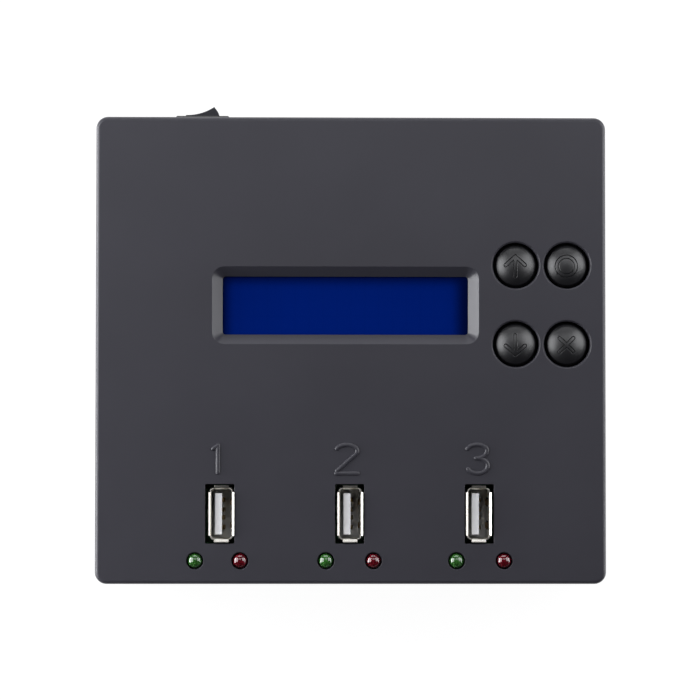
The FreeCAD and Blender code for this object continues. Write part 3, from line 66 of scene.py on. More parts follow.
# Corners closer than this are one corner: in a node, in a new shape, and after a rounding
NODE_MERGE = 2e-6
SHAPE_MERGE = 1e-7
ROUNDED_MERGE = 1e-6

# Angles in degrees: edges that are shaded sharp, edges that a mould rounds, and seams that count as flat
SHARP_ANGLE = 32.0
ROUNDED_SHARP_ANGLE = 40.0
MOULD_EDGE_ANGLE = 29.0
FLAT_ANGLE = 0.5

# The places of the sockets of a colour mix, whose names repeat
MIX_SHARE, MIX_FIRST, MIX_SECOND, MIX_RESULT = 0, 6, 7, 2


class Side(Enum):
    """The left or the right side of the object."""

    LEFT = -1
    RIGHT = 1


# Small tools for node trees


class Shader:
    """A material under construction, with its node tree and its main surface shader."""

    def __init__(self, name: str) -> None:
        """Starts a material.

        Args:
            name: The name of the material.
        """
        self.material = bpy.data.materials.new(name)
        self.material.use_nodes = True
        self.nodes = self.material.node_tree.nodes
        self.links = self.material.node_tree.links
        self.surface = self.nodes["Principled BSDF"]
        self.place = self.add("ShaderNodeTexCoord").outputs["Object"]

    def add(self, kind: str, **settings: object) -> bpy.types.Node:
        """Adds a node and sets its properties.

        Args:
            kind: The type name of the node.
            settings: Properties of the node by name.

        Returns:
            The new node.
        """
        node = self.nodes.new(kind)
        for name, value in settings.items():
            setattr(node, name, value)
        return node

    def join(self, source: object, node: bpy.types.Node, socket: str | int) -> bpy.types.Node:
        """Links an output to a node's input, given by name or number, and returns the node."""
        self.links.new(source, node.inputs[socket])
        return node

    def set(self, **values: object) -> None:
        """Sets inputs of the main surface shader by name, with underscores for blanks."""
        for name, value in values.items():
            self.surface.inputs[name.replace("_", " ")].default_value = value

    def stretched_upward(self, share: float) -> object:
        """The object coordinates with their height scaled, which stretches a pattern upward.

        Args:
            share: The factor on the height.

        Returns:
            The output with the scaled place.
        """
        mapping = self.add("ShaderNodeMapping")
        mapping.inputs["Scale"].default_value = (1.0, 1.0, share)
        self.join(self.place, mapping, "Vector")
        return mapping.outputs["Vector"]

    def noise(self, size: float, detail: float = 3.0, place: object | None = None) -> object:
        """Smooth noise.

        Args:
            size: The size of its lumps, in metres.
            detail: How many finer layers it has.
            place: Where it is read, or the object coordinates.

        Returns:
            The output with a value about one half.
        """
        texture = self.add("ShaderNodeTexNoise")
        texture.inputs["Scale"].default_value = 1.0 / size
        texture.inputs["Detail"].default_value = detail
        self.join(place or self.place, texture, "Vector")
        return texture.outputs["Fac"]

    def spread(self, value: object, low: float, high: float) -> object:
        """A noise value spread between two limits.

        Args:
            value: The noise.
            low: What its usual lowest value becomes.
            high: What its usual highest value becomes.

        Returns:
            The output with the spread value.
        """
        ranges = self.add("ShaderNodeMapRange")
        limits = {"From Min": NOISE_LOW, "From Max": NOISE_HIGH, "To Min": low, "To Max": high}
        for name, limit in limits.items():
            ranges.inputs[name].default_value = limit
        self.join(value, ranges, "Value")
        return ranges.outputs["Result"]

    def blend(self, value: object, low: Colour, high: Colour) -> object:
        """A colour between two, by a value from 0 to 1.

        Args:
            value: The output that chooses.
            low: The colour at 0.
            high: The colour at 1.

        Returns:
            The output with the colour.
        """
        ramp = self.add("ShaderNodeValToRGB")
        ramp.color_ramp.elements[0].color = (*low, 1.0)
        ramp.color_ramp.elements[1].color = (*high, 1.0)
        self.join(value, ramp, "Fac")
        return ramp.outputs["Color"]

    def relief(self, height: object, depth: float, under: object | None = None) -> object:
        """A bump of a real depth.

        Args:
            height: The output with the height, from 0 to 1.
            depth: The depth in metres.
            under: A normal that the bump goes on top of.

        Returns:
            The output with the normal.
        """
        bump = self.add("ShaderNodeBump")
        bump.inputs["Distance"].default_value = depth
        self.join(height, bump, "Height")
        if under is not None:
            self.join(under, bump, "Normal")
        return bump.outputs["Normal"]

    def wire(self, socket: str, source: object) -> None:
        """Links an output to the named input of the main surface shader."""
        self.links.new(source, self.surface.inputs[socket])


def scaled(colour: Colour, factor: float) -> Colour:
    """A colour made lighter or darker by a factor."""
    return tuple(channel * factor for channel in colour)


# Finishes


@dataclass(frozen=True)
class Moulded:
    """Moulded plastic with a fine spark-eroded grain and slightly uneven colour."""

    name: str
    colour: Colour
    roughness: float = 0.5
    grain: float = 0.22 * MM
    depth: float = 0.006 * MM
    mottle: float = 0.05
    specular: float = 0.5
    cloud_size: float = 30 * MM
    satin_size: float = 4 * MM
    satin_spread: float = 0.01
    coarse_factor: float = 3.0
    coarse_share: float = 0.7

    def make(self) -> bpy.types.Material:
        """Builds the material.

        Returns:
            The finished material.
        """
        shader = Shader(self.name)
        cloud = shader.spread(shader.noise(self.cloud_size, detail=4.0), 0.0, 1.0)
        low, high = scaled(self.colour, 1 - self.mottle), scaled(self.colour, 1 + self.mottle)
        shader.wire("Base Color", shader.blend(cloud, low, high))
        low, high = self.roughness - self.satin_spread, self.roughness + self.satin_spread
        shader.wire("Roughness", shader.spread(shader.noise(self.satin_size), low, high))
        shader.set(Specular_IOR_Level=self.specular)
        lumps = shader.noise(self.grain * self.coarse_factor, detail=2.0)
        coarse = shader.relief(lumps, self.depth * self.coarse_share)
        shader.wire("Normal", shader.relief(shader.noise(self.grain, detail=2.0), self.depth, coarse))
        return shader.material


@dataclass(frozen=True)
class Sheet:
    """Plated or bright metal sheet with a faint upright grain."""

    name: str
    colour: Colour
    roughness: float = 0.22
    roughness_spread: float = 0.3
    grain_size: float = 0.12 * MM
    grain_stretch: float = 0.05
    depth: float = 0.002 * MM
    tarnish: float = 0.12
    tarnish_size: float = 2 * MM

    def make(self) -> bpy.types.Material:
        """Builds the material.

        Returns:
            The finished material.
        """
        shader = Shader(self.name)
        grain = shader.noise(self.grain_size, 2.0, shader.stretched_upward(self.grain_stretch))
        cloud = shader.spread(shader.noise(self.tarnish_size), 0.0, 1.0)
        shader.wire("Base Color", shader.blend(cloud, scaled(self.colour, 1 - self.tarnish), self.colour))
        low, high = self.roughness * (1 - self.roughness_spread), self.roughness * (1 + self.roughness_spread)
        shader.wire("Roughness", shader.spread(grain, low, high))
        shader.wire("Normal", shader.relief(grain, self.depth))
        shader.set(Metallic=1.0)
        return shader.material


@dataclass(frozen=True)
class Resin:
    """Clear tinted casting resin of an indicator light, unlit."""

    name: str
    colour: Colour
    clearness: float = 0.15
    glow: float = 0.7
    glow_depth: float = 0.9 * MM
    cloud_size: float = 1.2 * MM
    cloud_shades: tuple[float, float] = (0.8, 1.15)
    gloss_size: float = 0.6 * MM
    gloss: tuple[float, float] = (0.05, 0.11)
    index: float = 1.56
    coat_index: float = 1.6
    coat_roughness: float = 0.03

    def make(self) -> bpy.types.Material:
        """Builds the material.

        Returns:
            The finished material.
        """
        shader = Shader(self.name)
        cloud = shader.spread(shader.noise(self.cloud_size, detail=2.0), 0.0, 1.0)
        low, high = (scaled(self.colour, shade) for shade in self.cloud_shades)
        shader.wire("Base Color", shader.blend(cloud, low, high))
        shader.wire("Roughness", shader.spread(shader.noise(self.gloss_size), *self.gloss))
        shader.set(IOR=self.index, Transmission_Weight=self.clearness)
        shader.set(Coat_Weight=1.0, Coat_IOR=self.coat_index, Coat_Roughness=self.coat_roughness)
        shader.set(Subsurface_Weight=self.glow, Subsurface_Scale=self.glow_depth)
        shader.set(Subsurface_Radius=(1.0, 1.0, 1.0))
        return shader.material


@dataclass(frozen=True)
class Laminate:
    """Circuit board with a lacquer over copper tracks."""

    name: str
    lacquer: Colour
    copper: Colour
    fields_per_metre: float = 180.0
    track_width: float = 0.06
    track_softness: float = 0.2
    track_depth: float = 0.02 * MM
    second_shade: float = 0.85
    gloss_size: float = 3 * MM
    gloss: tuple[float, float] = (0.28, 0.4)

    def make(self) -> bpy.types.Material:
        """Builds the material.

        Returns:
            The finished material.
        """
        shader = Shader(self.name)
        bricks = shader.add("ShaderNodeTexBrick")
        shader.join(shader.place, bricks, "Vector")
        bricks.inputs["Scale"].default_value = self.fields_per_metre
        bricks.inputs["Mortar Size"].default_value = self.track_width
        bricks.inputs["Mortar Smooth"].default_value = self.track_softness
        bricks.inputs["Color1"].default_value = (*self.lacquer, 1.0)
        bricks.inputs["Color2"].default_value = (*scaled(self.lacquer, self.second_shade), 1.0)
        bricks.inputs["Mortar"].default_value = (*self.copper, 1.0)
        shader.wire("Base Color", bricks.outputs["Color"])
        shader.wire("Roughness", shader.spread(shader.noise(self.gloss_size), *self.gloss))
        shader.wire("Normal", shader.relief(bricks.outputs["Fac"], self.track_depth))
        return shader.material


@dataclass(frozen=True)
class DisplayFilm:
    """The unlit face of a blue display: darker at its rim by painted shade, with faint rows of character
    cells under glass.
    """

    name: str
    colour: Colour
    # The darker blue of the painted shade at the rim
    rim: Colour
    centre: Point
    half_size: Point
    rim_width: float = 4.5 * MM
    cell: Point = (3.55 * MM, 6.95 * MM)
    cell_gap: float = 0.3 * MM
    cell_softness: float = 0.6
    cell_lift: float = 1.03
    gloss_size: float = 10 * MM
    gloss: tuple[float, float] = (0.1, 0.16)
    specular: float = 0.08

    def edge_shade(self, shader: Shader) -> object:
        """How near a place is to the rim of the view, which sets how much painted shade it takes.

        Args:
            shader: The material under construction.

        Returns:
            The output, 0 at the rim and 1 well inside.
        """
        apart = shader.join(shader.place, shader.add("ShaderNodeSeparateXYZ"), "Vector")
        nearness = []
        for axis in (0, 1):
            offset = shader.add("ShaderNodeMath", operation="SUBTRACT")
            shader.join(apart.outputs[axis], offset, 0).inputs[1].default_value = self.centre[axis]
            size = shader.join(offset.outputs[0], shader.add("ShaderNodeMath", operation="ABSOLUTE"), 0)
            ranges = shader.add("ShaderNodeMapRange", interpolation_type="SMOOTHSTEP")
            ranges.inputs["From Min"].default_value = self.half_size[axis]
            ranges.inputs["From Max"].default_value = self.half_size[axis] - self.rim_width
            nearness.append(shader.join(size.outputs[0], ranges, "Value").outputs["Result"])
        both = shader.add("ShaderNodeMath", operation="MULTIPLY")
        shader.join(nearness[0], both, 0)
        return shader.join(nearness[1], both, 1).outputs[0]

    def make(self) -> bpy.types.Material:
        """Builds the material.

        Returns:
            The finished material.
        """
        shader = Shader(self.name)
        cells = shader.add("ShaderNodeTexBrick", offset=0.0, squash=1.0)
        shader.join(shader.place, cells, "Vector")
        cells.inputs["Scale"].default_value = 1.0
        cells.inputs["Mortar Size"].default_value = self.cell_gap
        cells.inputs["Mortar Smooth"].default_value = self.cell_softness
        cells.inputs["Brick Width"].default_value, cells.inputs["Row Height"].default_value = self.cell
        for name in ("Color1", "Color2"):
            cells.inputs[name].default_value = (*scaled(self.colour, self.cell_lift), 1.0)
        cells.inputs["Mortar"].default_value = (*self.colour, 1.0)
        # Painted shade: the rim colour blends into the cells toward the rim
        mix = shader.add("ShaderNodeMix", data_type="RGBA")
        shader.join(self.edge_shade(shader), mix, MIX_SHARE)
        mix.inputs[MIX_FIRST].default_value = (*self.rim, 1.0)
        shader.join(cells.outputs["Color"], mix, MIX_SECOND)
        shader.wire("Base Color", mix.outputs[MIX_RESULT])
        shader.wire("Roughness", shader.spread(shader.noise(self.gloss_size), *self.gloss))
        shader.set(Specular_IOR_Level=self.specular)
        return shader.material


# Meshes and pieces


def shade(mesh: bpy.types.Mesh, angle: float) -> None:
    """Shades a mesh smooth, apart from edges sharper than an angle in degrees."""
    mesh.shade_smooth()
    mesh.set_sharp_from_angle(angle=math.radians(angle))


def add_piece(
    name: str,
    mesh: bmesh.types.BMesh,
    material: bpy.types.Material,
    host: str,
    angle: float = SHARP_ANGLE,
) -> bpy.types.Object:
    """Makes a finished piece that moves with a node and has its material slot.

    Args:
        name: The name of the piece.
        mesh: Its mesh, in place; it is freed.
        material: Its finish.
        host: The name of the node.
        angle: Edges sharper than this many degrees stay sharp.

    Returns:
        The new object.
    """
    data = bpy.data.meshes.new(name)
    mesh.to_mesh(data)
    mesh.free()
    shade(data, angle)
    data.materials.append(material)
    piece = bpy.data.objects.new(name, data)
    COLLECTION.objects.link(piece)
    slot_of(host)
    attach(piece, body_of(host))
    LOG.info("made %s with %d faces on %s", name, len(data.polygons), body_of(host))
    return piece


def dress(node: str, material: bpy.types.Material) -> None:
    """Gives a node of the frame its finish.

    Args:
        node: The name of the node.
        material: The finish.
    """
    piece = frame["nodes"][node]
    piece.data.materials.clear()
    piece.data.materials.append(material)
    LOG.info("dressed %s in %s", node, material.name)


def body_of(node: str) -> str:
    """The name of the body that carries a node."""
    bodies = frame["record"]["behaviour"]["bodies"]
    return next(body for body, members in bodies.items() if node in members)


def slot_of(node: str) -> str:
    """The record's material slot of a node."""
    return next(part["material_slot"] for part in frame["record"]["subparts"] if part["node"] == node)


def merged_copy(node: str) -> bmesh.types.BMesh:
    """A copy of a node's mesh with its loose triangles joined.

    Args:
        node: The name of the node.

    Returns:
        The copy.
    """
    mesh = bmesh.new()
    mesh.from_mesh(frame["nodes"][node].data)
    bmesh.ops.remove_doubles(mesh, verts=mesh.verts, dist=NODE_MERGE)
    return mesh


def replace_node(
    node: str,
    word: str,
    mesh: bmesh.types.BMesh,
    material: bpy.types.Material,
    angle: float = ROUNDED_SHARP_ANGLE,
) -> bpy.types.Object:
    """Makes a finished piece that takes the place of a node.

    Args:
        node: The name of the node.
        word: What the name of the piece adds to it.
        mesh: The mesh of the piece, in place; it is freed.
        material: The finish.
        angle: Edges sharper than this many degrees stay sharp.

    Returns:
        The new piece.
    """
    piece = add_piece(f"{node}_{word}", mesh, material, node, angle)
    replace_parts(piece, node)
    return piece


def soften(node: str, material: bpy.types.Material, width: float, segments: int = 2) -> bpy.types.Object:
    """Replaces a node by a copy whose sharp edges are rounded, as a mould or a press leaves them.

    Args:
        node: The name of the node.
        material: The finish.
        width: The width of the rounding in metres.
        segments: How many facets the rounding has.

    Returns:
        The new piece.
    """
    mesh = merged_copy(node)
    flat = math.radians(FLAT_ANGLE)
    bmesh.ops.dissolve_limit(mesh, angle_limit=flat, verts=mesh.verts, edges=mesh.edges)
    sharp = [
        edge
        for edge in mesh.edges
        if edge.calc_face_angle(0.0) > math.radians(MOULD_EDGE_ANGLE)
    ]
    bmesh.ops.bevel(
        mesh, geom=sharp, offset=width, offset_type="OFFSET", segments=segments, profile=0.5,
        material=-1, affect="EDGES", clamp_overlap=True, miter_outer="ARC",
    )
    bmesh.ops.remove_doubles(mesh, verts=mesh.verts, dist=ROUNDED_MERGE)
    piece = replace_node(node, "rounded", mesh, material)
    piece.modifiers.new("even_shading", "WEIGHTED_NORMAL").keep_sharp = True
    return piece


def swept(mesh: bmesh.types.BMesh, sections: list[list[Vector]]) -> None:
    """Sweeps a closed solid through a row of sections with the same number of corners.

    Args:
        mesh: The mesh that takes it.
        sections: The corners of each section, in order round it.
    """
    end = mesh.faces.new([mesh.verts.new(corner) for corner in sections[0]])
    for section in sections[1:]:
        added = bmesh.ops.extrude_face_region(mesh, geom=[end])["geom"]
        end = next(item for item in added if isinstance(item, bmesh.types.BMFace))
        for vert, corner in zip([loop.vert for loop in end.loops], section):
            vert.co = corner


def add_box(mesh: bmesh.types.BMesh, size: Vector, place: Vector) -> list[bmesh.types.BMVert]:
    """Adds a box.

    Args:
        mesh: The mesh that takes it.
        size: Its size along each axis.
        place: Its middle.

    Returns:
        Its corners.
    """
    corners = bmesh.ops.create_cube(mesh, size=1.0)["verts"]
    bmesh.ops.scale(mesh, vec=size, verts=corners)
    bmesh.ops.translate(mesh, vec=place, verts=corners)
    return corners


def add_leaf(
    mesh: bmesh.types.BMesh, steps: int, sheet: float, place: Callable[[float, float], Vector]
) -> None:
    """Adds a bent leaf of thin sheet.

    Args:
        mesh: The mesh that takes it.
        steps: How many steps it has along its length.
        sheet: The thickness of the sheet.
        place: Where a point lies, by its share from -0.5 to 0.5 across and from 0 to 1 along the leaf.
    """
    leaf = bmesh.ops.create_grid(mesh, x_segments=1, y_segments=steps, size=0.5)["verts"]
    for vert in leaf:
        vert.co = place(vert.co.x, vert.co.y + 0.5)
    faces = list({face for vert in leaf for face in vert.link_faces})
    bmesh.ops.recalc_face_normals(mesh, faces=faces)
    bmesh.ops.solidify(mesh, geom=faces, thickness=sheet)


def turned(mesh: bmesh.types.BMesh, profile: list[Point], steps: int) -> list[bmesh.types.BMVert]:
    """Turns a profile about the upright axis through the origin.

    Args:
        mesh: The mesh that takes the new faces.
        profile: Radius and height of each point, from the axis outward.
        steps: How many steps the turn has.

    Returns:
        The new vertices.
    """
    before = set(mesh.verts)
    line = [mesh.verts.new((radius, 0.0, height)) for radius, height in profile]
    edges = [mesh.edges.new(pair) for pair in zip(line, line[1:])]
    bmesh.ops.spin(
        mesh, geom=line + edges, cent=(0, 0, 0), axis=(0, 0, 1), dvec=(0, 0, 0),
        angle=2 * math.pi, steps=steps, use_merge=True,
    )
    bmesh.ops.remove_doubles(mesh, verts=[v for v in mesh.verts if v not in before], dist=SHAPE_MERGE)
    return [v for v in mesh.verts if v not in before]


def arc_points(centre: Point, radius: float, start: float, end: float, steps: int) -> list[Point]:
    """Points along an arc from one angle in degrees to another, with both ends."""
    angles = [math.radians(start + (end - start) * step / steps) for step in range(steps + 1)]
    return [(centre[0] + radius * math.cos(a), centre[1] + radius * math.sin(a)) for a in angles]


def ellipse_points(centre: Point, radii: Point, start: float, end: float, steps: int) -> list[Point]:
    """Points along part of an ellipse, with radii along X and Y, as on an arc."""
    unit = arc_points((0.0, 0.0), 1.0, start, end, steps)
    return [(centre[0] + radii[0] * x, centre[1] + radii[1] * y) for x, y in unit]


def middle(node: str) -> Vector:
    """The middle of a node's box at rest."""
    low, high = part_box(node)
    return (low + high) / 2


# The studio


@dataclass
class Softbox:
    """A soft square lamp that looks at the object, from a direction in degrees and a distance in metres."""

    name: str
    azimuth: float
    elevation: float
    radiance: float
    width: float
    height: float
    distance: float
    colour: Colour = (0.965, 0.975, 1.0)

    def place(self, target: Vector) -> None:
        """Hangs the lamp.

        Args:
            target: The point that it looks at.
        """
        light = bpy.data.lights.new(self.name, "AREA")
        light.shape = "RECTANGLE"
        light.size = self.width
        light.size_y = self.height
        light.color = self.colour
        light.energy = self.radiance * math.pi * self.width * self.height
        lamp = bpy.data.objects.new(self.name, light)
        turn, rise = math.radians(self.azimuth), math.radians(self.elevation)
        away = Vector((math.cos(turn) * math.cos(rise), math.sin(turn) * math.cos(rise), math.sin(rise)))
        lamp.location = target + away * self.distance
        lamp.rotation_euler = (-away).to_track_quat("-Z", "Y").to_euler()
        COLLECTION.objects.link(lamp)


@dataclass
class Studio:
    """The floor, the lamps and the camera above the case."""

    target: Vector
    camera_offset: Vector = field(default_factory=lambda: Vector((-14.18, -25.95, 750.0)) * MM)
    camera_turn: tuple[float, float, float] = (0.0346, -0.0186, 0.0008)
    lens: float = 151.4
    view_end: float = 200.0
    floor_radius: float = 40.0
    floor_gap: float = 0.02 * MM
    floor_steps: int = 64
    paper: float = 0.5
    paper_seen: float = 0.12
    paper_glow: float = 0.945
    surroundings: Colour = (0.012, 0.012, 0.013)

    def build(self) -> None:
        """Sets up everything round the object."""
        self.lay_floor()
        self.light()
        self.aim_camera()

    def lay_floor(self) -> None:
        """Lays the floor just below the feet."""
        mesh = bmesh.new()
        bmesh.ops.create_circle(mesh, cap_ends=True, radius=self.floor_radius, segments=self.floor_steps)
        bmesh.ops.translate(mesh, vec=(0, 0, -self.floor_gap), verts=mesh.verts)
        data = bpy.data.meshes.new("floor")
        mesh.to_mesh(data)
        mesh.free()
        data.materials.append(self.floor_paper())
        floor = bpy.data.objects.new("floor", data)
        COLLECTION.objects.link(floor)

    def floor_paper(self) -> bpy.types.Material:
        """The pale floor's material: bright to the camera, with the object's shadow on it, clear from below.

        Returns:
            The finished material.
        """
        shader = Shader("floor_paper")
        shader.nodes.remove(shader.surface)
        paper, faint = (shader.add("ShaderNodeBsdfDiffuse") for _ in range(2))
        paper.inputs["Color"].default_value = (self.paper, self.paper, self.paper, 1.0)
        faint.inputs["Color"].default_value = (self.paper_seen, self.paper_seen, self.paper_seen, 1.0)
        glow = shader.add("ShaderNodeEmission")
        glow.inputs["Strength"].default_value = self.paper_glow
        bright = shader.add("ShaderNodeAddShader")
        shader.join(faint.outputs[0], bright, 0)
        shader.join(glow.outputs[0], bright, 1)
        seen = self.seen_directly(shader)
        lit = shader.add("ShaderNodeMixShader")
        shader.join(seen, lit, 0)
        shader.join(paper.outputs[0], lit, 1)
        shader.join(bright.outputs[0], lit, 2)
        side = shader.add("ShaderNodeMixShader")
        shader.join(shader.add("ShaderNodeNewGeometry").outputs["Backfacing"], side, 0)
        shader.join(lit.outputs[0], side, 1)
        shader.join(shader.add("ShaderNodeBsdfTransparent").outputs[0], side, 2)
        shader.join(side.outputs[0], shader.nodes["Material Output"], "Surface")
        return shader.material

    def seen_directly(self, shader: Shader) -> object:
        """Whether a ray comes from the camera, a gloss or a clear piece.

        Args:
            shader: The material under construction.

        Returns:
            The output, 1 where it does.
        """
        rays = shader.add("ShaderNodeLightPath")
        found = rays.outputs["Is Camera Ray"]
        for kind in ("Is Glossy Ray", "Is Transmission Ray"):
            either = shader.add("ShaderNodeMath", operation="MAXIMUM")
            shader.join(found, either, 0)
            shader.join(rays.outputs[kind], either, 1)
            found = either.outputs[0]
        return found

    def light(self) -> None:
        """Sets the surroundings and hangs the lamps."""
        world = bpy.data.worlds.new("studio")
        world.use_nodes = True
        world.node_tree.nodes["Background"].inputs["Color"].default_value = (*self.surroundings, 1.0)
        bpy.context.scene.world = world
        lamps = (
            Softbox("lamp_left", 172.0, 32.0, 4.1, 0.42, 0.36, 0.4),
            Softbox("lamp_left_low", 180.0, 2.0, 13.0, 0.5, 0.16, 0.5),
            Softbox("lamp_right", 20.0, 33.0, 2.9, 0.4, 0.32, 0.45),
            Softbox("lamp_right_low", 4.0, 2.0, 6.0, 0.5, 0.16, 0.55),
            Softbox("lamp_rear", 92.0, 11.0, 3.0, 0.8, 0.25, 0.8),
            Softbox("lamp_over", 84.0, 62.0, 1.5, 0.46, 0.4, 0.8),
        )
        for lamp in lamps:
            lamp.place(self.target)

    def aim_camera(self) -> None:
        """Puts the camera above the case, as in the photograph."""
        data = bpy.data.cameras.new("camera")
        data.lens = self.lens
        data.clip_end = self.view_end
        camera = bpy.data.objects.new("camera", data)
        camera.location = self.target + self.camera_offset
        camera.rotation_euler = self.camera_turn
        COLLECTION.objects.link(camera)
        bpy.context.scene.camera = camera
        bpy.context.scene.view_settings.view_transform = "Standard"


# The push buttons


class Sign(Enum):
    """The sign on the crown of a button."""

    UP = "up"
    RING = "ring"
    DOWN = "down"
    CROSS = "cross"


def stroke_distance(place: Point, start: Point, end: Point) -> float:
    """How far a place lies from a straight stroke.

    Args:
        place: The place.
        start: One end of the stroke.
        end: Its other end.

    Returns:
        The distance.
    """
    along = Vector((end[0] - start[0], end[1] - start[1]))
    offset = Vector((place[0] - start[0], place[1] - start[1]))
    share = min(1.0, max(0.0, offset.dot(along) / along.length_squared))
    return (offset - along * share).length


@dataclass(frozen=True)
class SignShape:
    """The centre lines of the four signs, in metres about the middle of a button."""

    stroke: float = 0.82 * MM
    arrow_half: float = 2.48 * MM
    arm_reach: float = 2.4 * MM
    arm_drop: float = 2.25 * MM
    ring_radius: float = 2.41 * MM
    cross_reach: float = 1.75 * MM
    shift: Point = (-0.18 * MM, -0.2 * MM)

    def lines(self, sign: Sign) -> list[tuple[Point, Point]]:
        """The straight strokes of a sign.

        Args:
            sign: The sign.

        Returns:
            The two ends of each stroke.
        """
        if sign is Sign.CROSS:
            reach = self.cross_reach
            return [((-reach, -reach), (reach, reach)), ((-reach, reach), (reach, -reach))]
        turn = 1 if sign is Sign.UP else -1
        tip, tail = (0.0, turn * self.arrow_half), (0.0, -turn * self.arrow_half)
        arm = turn * (self.arrow_half - self.arm_drop)
        return [(tail, tip), (tip, (-self.arm_reach, arm)), (tip, (self.arm_reach, arm))]

    def distance(self, sign: Sign, place: Point) -> float:
        """How far a place lies from the centre line of a sign.

        Args:
            sign: The sign.
            place: The place about the middle of the button.

        Returns:
            The distance.
        """
        shifted = (place[0] - self.shift[0], place[1] - self.shift[1])
        if sign is Sign.RING:
            return abs(math.hypot(*shifted) - self.ring_radius)
        return min(stroke_distance(shifted, *line) for line in self.lines(sign))


def smooth_step(value: float) -> float:
    """A smooth rise from 0 at a value of 0 to 1 at a value of 1."""
    held = min(1.0, max(0.0, value))
    return held * held * (3 - 2 * held)


def lower_part(node: str, height: float) -> bpy.types.Mesh:
    """A closed copy of the part of a node below a height.

    Args:
        node: The name of the node.
        height: The height of the cut.

    Returns:
        The mesh data.
    """
    mesh = merged_copy(node)
    everything = list(mesh.verts) + list(mesh.edges) + list(mesh.faces)
    cut = bmesh.ops.bisect_plane(
        mesh, geom=everything, plane_co=(0, 0, height), plane_no=(0, 0, 1), clear_outer=True
    )
    rim = [piece for piece in cut["geom_cut"] if isinstance(piece, bmesh.types.BMEdge)]
    bmesh.ops.contextual_create(mesh, geom=rim)
    data = bpy.data.meshes.new(f"{node}_lower")
    mesh.to_mesh(data)
    mesh.free()
    return data


@dataclass
class PushButton:
    """One domed button with a sign sunk in its crown."""

    sign: Sign
    finish: bpy.types.Material
    shape: SignShape = field(default_factory=SignShape)
    crown_radius: float = 4.98 * MM
    crown_sphere: float = 8.0 * MM
    crown_depth: float = 2.0 * MM
    rim_rounding: float = 0.16 * MM
    rim_steps: int = 5
    side_radius: float = 5.28 * MM
    side_drop: float = 2.3 * MM
    skirt: float = 3.2 * MM
    groove_depth: float = 0.3 * MM
    groove_width: float = 0.26 * MM
    floor_depth: float = 0.05 * MM
    fine_radius: float = 3.75 * MM
    fine_step: float = 0.045 * MM
    coarse_steps: int = 9
    steps_round: int = 360

    def crown_profile(self, apex: float) -> list[Point]:
        """The outline of the dome, from its middle over the rounded rim and down the side.

        Args:
            apex: The height of its middle.

        Returns:
            Radius and height of each point.
        """
        sphere_centre = apex - self.crown_sphere
        rim_centre_x = self.crown_radius - self.rim_rounding
        rim_rise = math.sqrt((self.crown_sphere - self.rim_rounding) ** 2 - rim_centre_x**2)
        rim_centre = (rim_centre_x, sphere_centre + rim_rise)
        slant = math.degrees(math.atan2(rim_rise, rim_centre_x))
        crown_edge = self.crown_sphere * math.cos(math.radians(slant))
        fine = [self.fine_step * step for step in range(round(self.fine_radius / self.fine_step) + 1)]
        coarse = (crown_edge - fine[-1]) / self.coarse_steps
        radii = fine + [fine[-1] + coarse * step for step in range(1, self.coarse_steps)]
        dome = [(r, sphere_centre + math.sqrt(self.crown_sphere**2 - r * r)) for r in radii]
        rim = arc_points(rim_centre, self.rim_rounding, slant, 0.0, self.rim_steps)
        side = [(self.side_radius, apex - drop) for drop in (self.side_drop, self.skirt)]
        return dome + rim + side + [(0.0, apex - self.skirt)]

    def sink_sign(self, mesh: bmesh.types.BMesh) -> None:
        """Sinks the sign in the crown: a narrow groove round each stroke, whose floor follows the dome.

        Args:
            mesh: The dome about the origin.
        """
        half = self.shape.stroke / 2
        lowest = max(vert.co.z for vert in mesh.verts) - self.crown_depth
        for vert in mesh.verts:
            if vert.co.z < lowest or vert.co.xy.length > self.fine_radius:
                continue
            inside = half - self.shape.distance(self.sign, (vert.co.x, vert.co.y))
            groove = 1 - abs(inside) / (self.groove_width / 2)
            floor = smooth_step(inside / self.groove_width + 0.5)
            vert.co.z -= max(self.groove_depth * smooth_step(groove), self.floor_depth * floor)

    def build(self) -> bpy.types.Object:
        """Makes the button and puts it in the place of its node.

        Returns:
            The new piece.
        """
        node = f"button_{self.sign.value}"
        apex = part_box(node)[1].z
        mesh = bmesh.new()
        turned(mesh, self.crown_profile(apex), self.steps_round)
        self.sink_sign(mesh)
        bmesh.ops.translate(mesh, vec=middle(node).xy.to_3d(), verts=mesh.verts)
        bmesh.ops.recalc_face_normals(mesh, faces=mesh.faces)
        mesh.from_mesh(lower_part(node, apex - self.skirt))
        return replace_node(node, "cap", mesh, self.finish)


# The case


class Digit(Enum):
    """The numerals on the top, one for each socket."""

    ONE = 1
    TWO = 2
    THREE = 3


